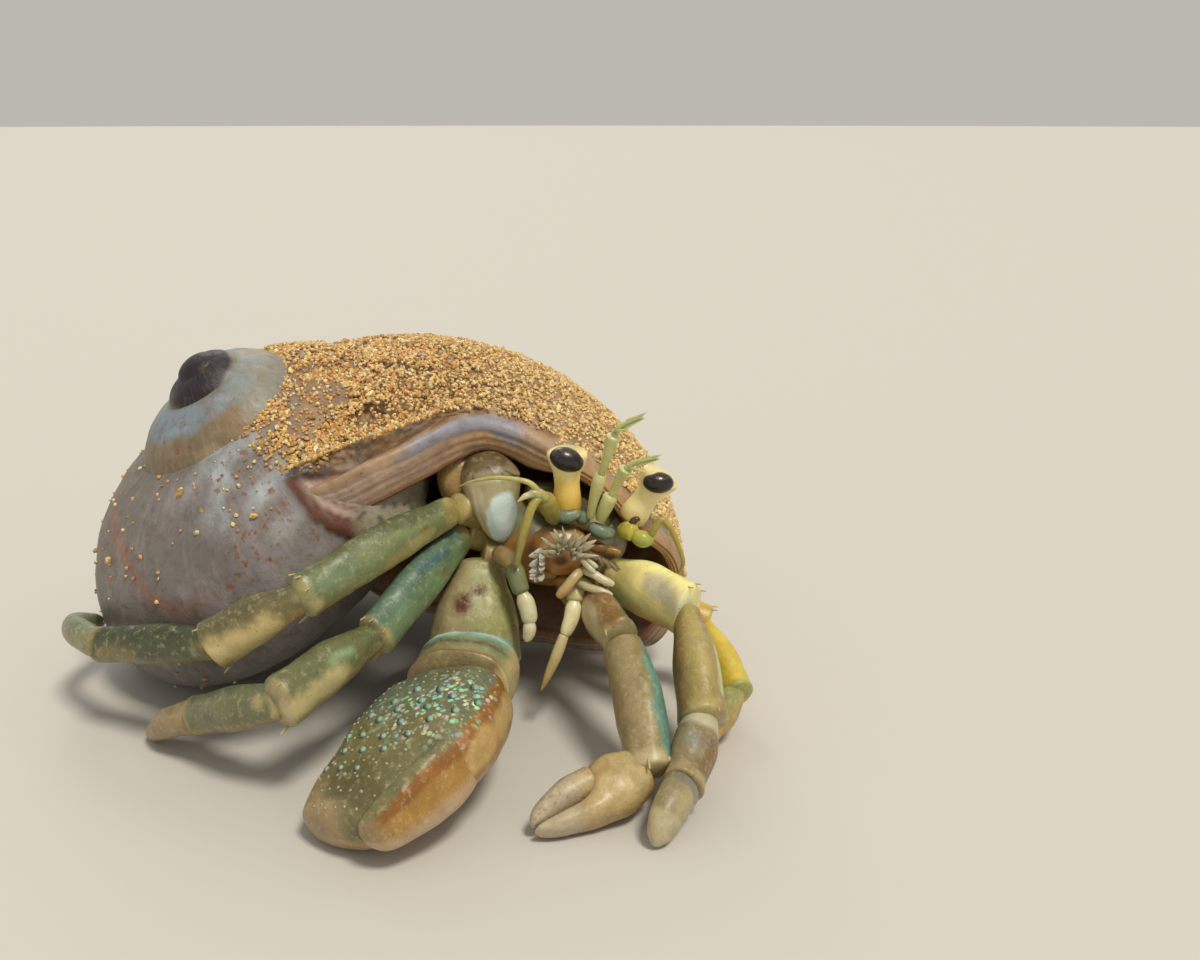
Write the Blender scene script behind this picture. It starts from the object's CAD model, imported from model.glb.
"""A long-clawed hermit crab walking in a sand-dusted moon-snail shell.

Every place is given in stance millimetres: x runs across the scene, y runs away from the
front of the stance and z is height over the floor. Each finished mesh is carried into the
row's own frame, in metres, so every object sits unturned at the origin.
"""

import logging
import math
from collections.abc import Callable, Sequence
from dataclasses import dataclass, field
from enum import Enum
from functools import lru_cache

import bmesh
import bpy
import numpy as np
from mathutils import Matrix, Vector, noise


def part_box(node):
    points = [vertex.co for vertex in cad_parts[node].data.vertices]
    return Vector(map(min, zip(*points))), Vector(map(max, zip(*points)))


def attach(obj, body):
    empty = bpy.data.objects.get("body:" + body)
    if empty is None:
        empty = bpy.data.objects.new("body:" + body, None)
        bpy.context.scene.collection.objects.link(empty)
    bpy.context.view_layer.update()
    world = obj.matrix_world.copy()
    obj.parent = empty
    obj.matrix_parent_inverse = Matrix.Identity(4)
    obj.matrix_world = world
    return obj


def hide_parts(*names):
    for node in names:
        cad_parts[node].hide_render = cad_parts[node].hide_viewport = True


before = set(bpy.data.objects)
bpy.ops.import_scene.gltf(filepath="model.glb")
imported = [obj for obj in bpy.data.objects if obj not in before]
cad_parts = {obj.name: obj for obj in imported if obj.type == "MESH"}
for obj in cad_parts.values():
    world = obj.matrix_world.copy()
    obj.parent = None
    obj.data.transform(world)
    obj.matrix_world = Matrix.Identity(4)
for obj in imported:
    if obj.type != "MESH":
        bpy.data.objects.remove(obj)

log = logging.getLogger("hermit_crab")

Point = tuple[float, float, float]
Tone = tuple[float, float, float]
Row = tuple[float, ...]
Rows = Sequence[Row]
Axes = tuple[Vector, Vector, Vector]
Socket = bpy.types.NodeSocket

MM = 0.001
SHARE_STEP = 0.02
KNOT_STEPS = 16


# ------------------------------------------------------------------ measures and colours


@dataclass(frozen=True)
class Stance:
    """Carries stance millimetres into the row's metres.

    Args:
        facing: turn from the stance axes to the row's axes, in radians.
        mark: the centre of the right cornea in stance millimetres, which ties both frames.
    """

    facing: float = math.radians(70)
    mark: Point = (-1.58, -4.9, 13.2)

    def matrix(self) -> Matrix:
        """Return the transform from stance millimetres to the row frame."""
        low, high = (Vector(corner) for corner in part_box("cornea_right"))
        turn = Matrix.Rotation(self.facing, 4, "Z") @ Matrix.Scale(MM, 4)
        offset = (low + high) / 2 - turn @ Vector(self.mark)
        offset.z = 0
        return Matrix.Translation(offset) @ turn


STANCE = Stance().matrix()


@lru_cache(maxsize=None)
def tone(code: str) -> Tone:
    """Return the linear colour of a six-digit colour code."""
    parts = [int(code[i : i + 2], 16) / 255 for i in (0, 2, 4)]
    red, green, blue = (c / 12.92 if c <= 0.04045 else ((c + 0.055) / 1.055) ** 2.4 for c in parts)
    return (red, green, blue)


def step(x: float, low: float, high: float) -> float:
    """Return a smooth step from 0 at low to 1 at high."""
    t = min(max((x - low) / (high - low), 0.0), 1.0)
    return t * t * (3 - 2 * t)


def mix(a: Tone, b: Tone, k: float) -> Tone:
    """Return the colour a share k of the way from a to b."""
    k = min(max(k, 0.0), 1.0)
    return (a[0] + (b[0] - a[0]) * k, a[1] + (b[1] - a[1]) * k, a[2] + (b[2] - a[2]) * k)


def washed(ground: Tone | str, *washes: tuple[str, float]) -> Tone:
    """Return a colour, given as a tone or a code, under washes.

    Args:
        ground: the colour to start from.
        washes: for each wash, its colour code and the share that it covers.

    Returns:
        The colour with every wash laid over it in turn.
    """
    colour = tone(ground) if isinstance(ground, str) else ground
    for code, share in washes:
        colour = mix(colour, tone(code), share)
    return colour


def hump(x: float, middle: float, width: float) -> float:
    """Return a bell curve that is 1 at its middle."""
    return math.exp(-(((x - middle) / width) ** 2))


def grain(point: Vector, size: float, seed: float = 0.0) -> float:
    """Return smooth noise from about -1 to 1, with features of a size in millimetres."""
    return noise.noise(Vector((point.x / size + seed, point.y / size - seed, point.z / size + 2 * seed)))


def reading(rows: Rows, u: float) -> list[float]:
    """Read a table of [u, value, value, ...] rows smoothly, with no overshoot.

    Args:
        rows: the table, with u rising.
        u: where to read it.

    Returns:
        The values at u.
    """
    if u <= rows[0][0]:
        return list(rows[0][1:])
    if u >= rows[-1][0]:
        return list(rows[-1][1:])
    i = next(k for k in range(1, len(rows)) if rows[k][0] >= u) - 1
    here, there = rows[i], rows[i + 1]
    span = there[0] - here[0]
    t = (u - here[0]) / span
    values = []
    for k in range(1, len(here)):
        slope = (there[k] - here[k]) / span
        lead = (here[k] - rows[i - 1][k]) / (here[0] - rows[i - 1][0]) if i > 0 else slope
        trail = (rows[i + 2][k] - there[k]) / (rows[i + 2][0] - there[0]) if i + 2 < len(rows) else slope
        start = 0.0 if lead * slope <= 0 else 2 * lead * slope / (lead + slope)
        end = 0.0 if trail * slope <= 0 else 2 * trail * slope / (trail + slope)
        values.append(
            here[k] * (1 + 2 * t) * (1 - t) ** 2
            + start * span * t * (1 - t) ** 2
            + there[k] * t * t * (3 - 2 * t)
            - end * span * t * t * (1 - t)
        )
    return values


class Spine:
    """A smooth line through points, read by its share of length."""

    def __init__(self, path: Sequence[Point], top: Point) -> None:
        """Sample the line through the path's points; top is the way its upper side faces."""
        knots = [Vector(p) for p in path]
        knots = [2 * knots[0] - knots[1], *knots, 2 * knots[-1] - knots[-2]]
        self.top = Vector(top).normalized()
        self.stations: dict[float, tuple[Row, float, Vector, Axes]] = {}
        self.points: list[Vector] = []
        for a, b, c, d in zip(knots, knots[1:], knots[2:], knots[3:]):
            for k in range(KNOT_STEPS):
                t = k / KNOT_STEPS
                self.points.append(
                    0.5 * ((2 * b) + (c - a) * t + (2 * a - 5 * b + 4 * c - d) * t**2 + (3 * b - a - 3 * c + d) * t**3)
                )
        self.points.append(knots[-2])
        self.lengths = [0.0]
        for a, b in zip(self.points, self.points[1:]):
            self.lengths.append(self.lengths[-1] + (b - a).length)

    @property
    def length(self) -> float:
        """Return the line's length in millimetres."""
        return self.lengths[-1]

    def at(self, u: float) -> Vector:
        """Return the point a share u along the line."""
        goal = min(max(u, 0.0), 1.0) * self.length
        i = max(1, next((k for k, far in enumerate(self.lengths) if far >= goal), len(self.lengths) - 1))
        near, far = self.lengths[i - 1], self.lengths[i]
        return self.points[i - 1].lerp(self.points[i], (goal - near) / max(far - near, 1e-9))

    def axes(self, u: float) -> Axes:
        """Return the directions along, across and up at a share u of the line."""
        along = (self.at(u + SHARE_STEP) - self.at(u - SHARE_STEP)).normalized()
        across = along.cross(self.top).normalized()
        return along, across, across.cross(along)


@dataclass
class Place:
    """A spot on a form while it is shaped and painted.

    Args:
        u: share of the length.
        top: 1 on the upper line, -1 on the lower.
        side: 1 on the right as seen from the base, -1 on the left.
        point: where it is, in stance millimetres.
        across: distance from the form's own line, in millimetres.
    """

    u: float
    top: float
    side: float
    point: Vector
    across: float


Painter = Callable[[Place], Tone]
Gauge = Callable[[Place], float]


@dataclass(frozen=True)
class Bump:
    """A pimple on the upper side of a form.

    Args:
        u: share of the length.
        across: distance to the right of the form's line, in millimetres.
        radius: its radius in millimetres.
        height: how far it stands out, in millimetres.
    """

    u: float
    across: float
    radius: float
    height: float

    def rise(self, u: float, across: float, length: float) -> float:
        """Return how far the surface rises at a spot on a form of a given length."""
        far = math.hypot((u - self.u) * length, across - self.across)
        return self.height * hump(far, 0.0, self.radius) if far < 2.5 * self.radius else 0.0


def plain(code: str) -> Painter:
    """Return a painter of one colour."""
    colour = tone(code)
    return lambda _: colour


@dataclass
class Loft:
    """A closed rounded form along a line.

    Args:
        path: points of its line.
        rows: [u, left, right, bottom, top] distances from the line, in millimetres.
        top: the way its upper side faces.
        sides: faces round it.
        rings: faces along it.
        ends: shares of the length over which the two ends round off.
        square: 2 is a round section, and more is boxier.
        crest: how much the upper line is drawn out.
        rough: height of the slow unevenness, in millimetres.
        bumps: pimples on the upper side.
        paint: the colour of each place.
        shift: the section's swell, given its share of length and its direction.
        pearl: how pearly each place is.
    """

    path: Sequence[Point]
    rows: Rows
    top: Point = (0.0, 0.0, 1.0)
    sides: int = 28
    rings: int = 32
    ends: tuple[float, float] = (0.08, 0.08)
    square: float = 2.3
    crest: float = 0.0
    rough: float = 0.02
    bumps: Sequence[Bump] = ()
    paint: Painter = plain("8f9a80")
    shift: Callable[[float, float, float], float] | None = None
    pearl: Gauge | None = None

    def rounding(self, u: float) -> float:
        """Return how far the section has filled out at u, from 0 at the tips to 1."""
        near, far = self.ends
        near_fill = math.sqrt(max(0.0, 1 - (1 - u / near) ** 2)) if u < near else 1.0
        far_fill = math.sqrt(max(0.0, 1 - (1 - (1 - u) / far) ** 2)) if u > 1 - far else 1.0
        return min(near_fill, far_fill)

    def station(self, spine: Spine, u: float) -> tuple[Row, float, Vector, Axes]:
        """Return the section's distances, its fill, its middle and its axes at u."""
        key = round(u, 5)
        if key not in spine.stations:
            spine.stations[key] = (tuple(reading(self.rows, u)), self.rounding(u), spine.at(u), spine.axes(u))
        return spine.stations[key]

    def pose(self, spine: Spine, ball: Vector) -> Place:
        """Place a point of the unit ball on the form.

        Args:
            spine: the form's line.
            ball: the point on the ball, whose +z pole is the form's base.

        Returns:
            The place on the form.
        """
        u = min(max((1 - ball.z) / 2, 0.0), 1.0)
        (left, right, bottom, top), fill, heart, (_, across, upward) = self.station(spine, u)
        flat = math.hypot(ball.x, ball.y)
        side, lift = (ball.x / flat, ball.y / flat) if flat > 1e-6 else (0.0, 0.0)
        if flat > 1e-6:
            swell = (abs(side) ** self.square + abs(lift) ** self.square) ** (-1 / self.square)
            swell *= 1 + self.crest * max(0.0, lift) ** 8
            if self.shift:
                swell *= self.shift(u, side, lift)
        else:
            swell = 0.0
        middle = (right - left) / 2
        wide = (left + right) / 2 * fill * side * swell
        high = (top + bottom) / 2 * fill * lift * swell
        point = heart + across * (middle + wide) + upward * ((top - bottom) / 2 + high)
        outward = across * side + upward * lift
        if self.rough:
            point += outward * self.rough * grain(point, 0.9) * min(1.0, fill + 0.2)
        if lift > 0:
            rise = sum(bump.rise(u, middle + wide, spine.length) for bump in self.bumps)
            point += outward * rise * step(lift, 0.0, 0.35)
        return Place(u, lift, side, point, middle + wide)


def even(rows: Rows) -> list[Row]:
    """Return loft rows from [u, full width, full height] rows, where a lone width is the height too."""
    return [(row[0], row[1] / 2, row[1] / 2, row[-1] / 2, row[-1] / 2) for row in rows]


# ------------------------------------------------------------------ finishes


class Slot(Enum):
    """The record's material slots."""

    SHELL = "shell"
    OLIVE = "olive"
    CLAW = "claw"
    CREAM = "cream"
    PLATE = "plate"
    FLESH = "flesh"
    CORNEA = "cornea"
    FEELER = "feeler"


class Nodes:
    """A small helper that lays out one material's nodes."""

    def __init__(self, name: str) -> None:
        """Start a material with its shader and its object coordinates."""
        self.material = bpy.data.materials.new(name)
        self.material.use_nodes = True
        self.tree = self.material.node_tree
        self.shader = self.tree.nodes["Principled BSDF"]
        self.place = self.tree.nodes.new("ShaderNodeTexCoord").outputs["Object"]

    def link(self, source: Socket, target: Socket) -> None:
        """Join two sockets."""
        self.tree.links.new(source, target)

    def fill(self, node: bpy.types.Node, inputs: dict[str | int, Socket | float | Tone]) -> None:
        """Set a node's inputs to numbers and colours, or join them to sockets."""
        for name, value in inputs.items():
            if isinstance(value, Socket):
                self.link(value, node.inputs[name])
            elif isinstance(value, tuple) and node.inputs[name].type == "RGBA":
                node.inputs[name].default_value = (*value, 1.0)
            else:
                node.inputs[name].default_value = value

    def shade(self, **inputs: Socket | float | Tone) -> None:
        """Fill the shader's inputs, which are named with _ for each space."""
        self.fill(self.shader, {name.replace("_", " "): value for name, value in inputs.items()})

    def attribute(self, name: str, output: str = "Color") -> Socket:
        """Return an output of a named attribute."""
        node = self.tree.nodes.new("ShaderNodeAttribute")
        node.attribute_name = name
        return node.outputs[output]

    def noise(self, per_mm: float, detail: float = 3.0, rough: float = 0.55, vector: Socket | None = None) -> Socket:
        """Return noise with so many features in a millimetre."""
        node = self.tree.nodes.new("ShaderNodeTexNoise")
        inputs = {"Scale": per_mm * 1000, "Detail": detail, "Roughness": rough, "Vector": vector or self.place}
        self.fill(node, inputs)
        return node.outputs["Fac"]

    def cells(self, per_mm: float, output: str = "Distance") -> Socket:
        """Return an output of cells, with so many in a millimetre."""
        node = self.tree.nodes.new("ShaderNodeTexVoronoi")
        self.fill(node, {"Scale": per_mm * 1000, "Vector": self.place})
        return node.outputs[output]

    def ramp(self, source: Socket, low: float, high: float) -> Socket:
        """Return a source stretched so that low becomes 0 and high becomes 1."""
        node = self.tree.nodes.new("ShaderNodeMapRange")
        self.fill(node, {"From Min": low, "From Max": high, "Value": source})
        return node.outputs["Result"]

    def times(self, a: Socket, b: Socket | float) -> Socket:
        """Return the product of two values."""
        node = self.tree.nodes.new("ShaderNodeMath")
        node.operation = "MULTIPLY"
        self.fill(node, {0: a, 1: b})
        return node.outputs[0]

    def blend(self, share: Socket | float, a: Socket, b: Socket | Tone, kind: str = "MIX") -> Socket:
        """Return colour a mixed with colour b by a share."""
        node = self.tree.nodes.new("ShaderNodeMix")
        node.data_type = "RGBA"
        node.blend_type = kind
        self.fill(node, {0: share, 6: a, 7: b})
        return node.outputs[2]

    def stain(self, mask: Socket, ground: Socket, share: float, tint: Tone, kind: str = "MULTIPLY") -> Socket:
        """Return a ground with a share of a tint blended into it where a mask is 1."""
        return self.blend(mask, ground, self.blend(share, ground, tint, kind))

    def bump(self, height: Socket, strength: float, depth_mm: float) -> None:
        """Add relief of a depth in millimetres to the shader's normal."""
        node = self.tree.nodes.new("ShaderNodeBump")
        self.fill(node, {"Strength": strength, "Distance": depth_mm / 1000, "Height": height})
        held = self.shader.inputs["Normal"]
        if held.is_linked:
            self.link(held.links[0].from_socket, node.inputs["Normal"])
        self.link(node.outputs["Normal"], held)


@dataclass(frozen=True)
class Finish:
    """A surface whose material is made once, on its first use.

    Args:
        name: the material's name.
    """

    name: str

    def material(self) -> bpy.types.Material:
        """Return the material."""
        if self.name not in bpy.data.materials:
            self.lay(Nodes(self.name))
        return bpy.data.materials[self.name]

    def lay(self, nodes: Nodes) -> None:
        """Lay out the material's nodes."""
        raise NotImplementedError


@dataclass(frozen=True)
class CuticleFinish(Finish):
    """Hard crab skin: painted ground, mottling, pores and a satin gloss.

    Args:
        mottle: strength of the darker mottling.
        fleck: strength of the fine flecks.
        gloss: the lowest roughness.
        relief: depth of the fine relief, in millimetres.
        glow: how much light passes into it.
        pearl: whether the pearly sheen marks are drawn.
    """

    mottle: float = 0.35
    fleck: float = 0.35
    gloss: float = 0.3
    relief: float = 0.02
    glow: float = 0.12
    pearl: bool = False

    def lay(self, nodes: Nodes) -> None:
        """Lay out the material's nodes."""
        ground = nodes.attribute("paint")
        cloud = nodes.ramp(nodes.noise(0.9, 4.0), 0.42, 0.68)
        ground = nodes.stain(cloud, ground, self.mottle, (0.42, 0.4, 0.32))
        speck = nodes.ramp(nodes.noise(9.0, 3.0, 0.7), 0.3, 0.7)
        light = nodes.blend(self.fleck, ground, (1.0, 0.95, 0.8), "SOFT_LIGHT")
        ground = nodes.blend(speck, light, ground)
        worn = nodes.ramp(nodes.noise(3.1, 5.0, 0.7), 0.53, 0.66)
        ground = nodes.blend(nodes.times(worn, 0.3), ground, (0.62, 0.56, 0.36))
        pores = nodes.ramp(nodes.cells(3.2), 0.16, 0.08)
        rare = nodes.ramp(nodes.noise(1.7, 1.0), 0.5, 0.62)
        ground = nodes.blend(nodes.times(nodes.times(pores, rare), 0.6), ground, (0.05, 0.045, 0.03))
        if self.pearl:
            sheen = nodes.attribute("pearl", "Fac")
            patch = nodes.blend(1.0, nodes.cells(3.4, "Color"), (1.0, 0.95, 0.9), "MULTIPLY")
            bright = nodes.blend(0.45, patch, (0.5, 0.9, 0.62))
            share = nodes.times(sheen, nodes.ramp(nodes.cells(3.4), 0.5, 0.34))
            share = nodes.times(share, nodes.ramp(nodes.noise(1.6, 2.0), 0.38, 0.52))
            ground = nodes.blend(share, ground, bright)
        nodes.shade(Base_Color=ground, Roughness=nodes.ramp(nodes.noise(2.5, 2.0), -self.gloss, 1.7))
        nodes.shade(Subsurface_Weight=self.glow, Subsurface_Radius=(1.0, 0.7, 0.4), Subsurface_Scale=0.0006)
        nodes.shade(Coat_Weight=0.15, Coat_Roughness=0.25)
        nodes.bump(nodes.noise(1.8, 3.0), 0.3, 0.12)
        nodes.bump(nodes.noise(14.0, 3.0, 0.65), 0.5, self.relief)
        nodes.bump(nodes.cells(4.5), 0.25, self.relief * 1.5)


@dataclass(frozen=True)
class ShellFinish(Finish):
    """Worn moon-snail shell: painted ground, growth lines, spiral bands and pitting."""

    name: str = "worn_shell"

    def lay(self, nodes: Nodes) -> None:
        """Lay out the material's nodes."""
        ground = nodes.attribute("paint")
        lines = nodes.noise(0.001, 5.0, 0.6, nodes.attribute("flow", "Vector"))
        ground = nodes.stain(nodes.ramp(lines, 0.48, 0.75), ground, 0.12, (0.55, 0.45, 0.42))
        ground = nodes.stain(nodes.ramp(lines, 0.48, 0.28), ground, 0.07, (0.8, 0.82, 0.88), "MIX")
        cloud = nodes.ramp(nodes.noise(0.5, 6.0, 0.65), 0.5, 0.66)
        ground = nodes.stain(cloud, ground, 1.0, (1.38, 1.38, 1.38))
        mottle = nodes.ramp(nodes.noise(1.6, 5.0, 0.7), 0.48, 0.66)
        ground = nodes.stain(mottle, ground, 0.5, (0.62, 0.52, 0.4))
        rust = nodes.ramp(nodes.noise(2.3, 5.0, 0.65), 0.56, 0.64)
        ground = nodes.blend(nodes.times(rust, nodes.attribute("rust", "Fac")), ground, (0.22, 0.085, 0.025))
        pits = nodes.times(nodes.ramp(nodes.cells(2.4), 0.13, 0.07), nodes.ramp(nodes.noise(0.8, 2.0), 0.52, 0.62))
        ground = nodes.blend(nodes.times(pits, 0.75), ground, (0.05, 0.035, 0.03))
        nodes.shade(Base_Color=ground, Roughness=nodes.ramp(nodes.noise(1.2, 3.0), -0.8, 1.9))
        nodes.shade(Subsurface_Weight=0.06, Subsurface_Radius=(1.0, 0.8, 0.7), Subsurface_Scale=0.0008)
        nodes.bump(lines, 0.12, 0.08)
        nodes.bump(nodes.noise(1.3, 4.0, 0.6), 0.35, 0.2)
        nodes.bump(nodes.noise(6.0, 4.0, 0.65), 0.35, 0.05)


@dataclass(frozen=True)
class SandFinish(Finish):
    """Damp grains, each with its own colour."""

    name: str = "sand_grains"

    def lay(self, nodes: Nodes) -> None:
        """Lay out the material's nodes."""
        damp = nodes.ramp(nodes.noise(6.0, 2.0), 0.35, 0.7)
        ground = nodes.blend(damp, nodes.attribute("paint"), (0.6, 0.42, 0.22), "MULTIPLY")
        nodes.shade(Base_Color=ground, Roughness=0.32, Specular_IOR_Level=0.6)
        nodes.bump(nodes.noise(8.0, 3.0), 0.4, 0.04)


@dataclass(frozen=True)
class CorneaFinish(Finish):
    """The eye's dark facets under a clear wet coat."""

    name: str = "cornea_facets"

    def lay(self, nodes: Nodes) -> None:
        """Lay out the material's nodes."""
        ground = nodes.attribute("paint")
        flecks = nodes.times(nodes.ramp(nodes.noise(7.0, 3.0, 0.7), 0.52, 0.66), nodes.attribute("pearl", "Fac"))
        ground = nodes.blend(nodes.times(flecks, 0.6), ground, (0.2, 0.17, 0.05))
        nodes.shade(Base_Color=ground, Roughness=0.3, Coat_Weight=0.25, Coat_Roughness=0.12)
        nodes.bump(nodes.cells(14.0), 0.35, 0.012)


@dataclass(frozen=True)
class SoftFinish(Finish):
    """Soft or clear parts: joint skin and feelers.

    Args:
        glow: how much light passes into it.
        gloss: its roughness.
    """

    glow: float = 0.3
    gloss: float = 0.35

    def lay(self, nodes: Nodes) -> None:
        """Lay out the material's nodes."""
        ground = nodes.attribute("paint")
        cloud = nodes.ramp(nodes.noise(2.2, 3.0), 0.4, 0.7)
        ground = nodes.stain(cloud, ground, 0.4, (0.6, 0.5, 0.3))
        nodes.shade(Base_Color=ground, Roughness=self.gloss)
        nodes.shade(Subsurface_Weight=self.glow, Subsurface_Radius=(1.0, 0.8, 0.45), Subsurface_Scale=0.0008)
        nodes.bump(nodes.noise(9.0, 3.0), 0.3, 0.02)


LEG = CuticleFinish("leg_cuticle", mottle=0.45)
CLAW = CuticleFinish("claw_cuticle", mottle=0.4, pearl=True, relief=0.03)
PLATE = CuticleFinish("body_plate", mottle=0.25, fleck=0.25, glow=0.2)
STALK = CuticleFinish("eyestalk_cuticle", mottle=0.12, fleck=0.2, glow=0.3, relief=0.008)
SKIN = SoftFinish("joint_skin")
FEELER = SoftFinish("feeler_skin", glow=0.35, gloss=0.3)


# ------------------------------------------------------------------ meshes


class Form:
    """One piece's mesh under construction, in stance millimetres."""

    def __init__(self) -> None:
        """Start an empty mesh with its layers."""
        self.mesh = bmesh.new()
        self.paint = self.mesh.verts.layers.float_color.new("paint")
        self.pearl = self.mesh.verts.layers.float.new("pearl")
        self.rust = self.mesh.verts.layers.float.new("rust")
        self.flow = self.mesh.verts.layers.float_vector.new("flow")

    def add(self, loft: Loft) -> None:
        """Add one closed rounded form."""
        spine = Spine(loft.path, loft.top)
        ball = bmesh.ops.create_uvsphere(self.mesh, u_segments=loft.sides, v_segments=loft.rings, radius=1)
        for vert in ball["verts"]:
            place = loft.pose(spine, vert.co)
            vert.co = place.point
            vert.co.z = max(vert.co.z, 0.0)
            vert[self.paint] = (*loft.paint(place), 1.0)
            if loft.pearl:
                vert[self.pearl] = loft.pearl(place)

    def done(self, name: str, finish: Finish, nodes: Sequence[str]) -> bpy.types.Object:
        """Carry the mesh into the row frame and return it as a piece, dressed as dressed() says."""
        bmesh.ops.transform(self.mesh, matrix=STANCE, verts=self.mesh.verts[:])
        data = bpy.data.meshes.new(name)
        self.mesh.to_mesh(data)
        self.mesh.free()
        return dressed(data, name, finish, nodes)


def dressed(
    data: bpy.types.Mesh, name: str, finish: Finish, nodes: Sequence[str]
) -> bpy.types.Object:
    """Make a mesh a smooth, dressed piece that rides on the row's body.

    Args:
        data: the mesh, already in the row frame.
        name: the piece's name.
        finish: its surface.
        nodes: the solids that it stands for.

    Returns:
        The finished object.
    """
    data.materials.append(finish.material())
    data.shade_smooth()
    piece = bpy.data.objects.new(f"{name}_cuticle" if name in nodes else name, data)
    bpy.context.scene.collection.objects.link(piece)
    if nodes:
        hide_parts(*nodes)
    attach(piece, "root")
    log.info("%s: %d faces", name, len(data.polygons))
    return piece


def formed(name: str, finish: Finish, lofts: Sequence[Loft], nodes: Sequence[str] | None = None) -> None:
    """Build one piece from lofts. It stands for the solid of its own name, unless nodes are given."""
    form = Form()
    for loft in lofts:
        form.add(loft)
    form.done(name, finish, [name] if nodes is None else nodes)


# ------------------------------------------------------------------ the shell

LIP_RISE = (
    (1.0, 0.0), (1.3, 0.1), (1.6, 0.35), (1.75, 0.3), (1.85, 0.45), (2.0, 0.9),
    (2.2, 1.05), (2.3, 0.85), (2.4, 0.6), (2.55, 0.35), (2.8, 0.1), (3.5, 0.0),
)
LIP_WALL = ((0.6, 0.6), (1.3, 0.6), (1.6, 1.45), (1.8, 1.45), (1.9, 1.35), (2.0, 1.15), (2.1, 1.0))
FOLD_EDGE = ((-14.9, 12.7), (-14.3, 12.1), (-13.5, 11.1), (-12.1, 10.05), (-11.0, 9.6), (-8.0, 9.0))
SHELL_SIDES = 168
INNER_RINGS, RIM_RINGS, LIP_RINGS, BODY_RINGS, SPIRE_RINGS = 60, 18, 120, 100, 130
BODY_START, SPIRE_START = 4.436, 7.036
RUST_SPOTS = (
    (-16.8, -8.1, 9.4, 2.0), (-17.2, -8.4, 8.2, 1.2), (-15.8, -7.9, 10.4, 1.6), (-17.4, -5.9, 12.9, 1.6),
    (-16.0, -6.4, 12.7, 1.5), (-14.3, -7.6, 10.5, 1.8), (-21.0, -3.5, 13.5, 1.8), (-19.6, -1.5, 16.6, 1.2),
)


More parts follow.
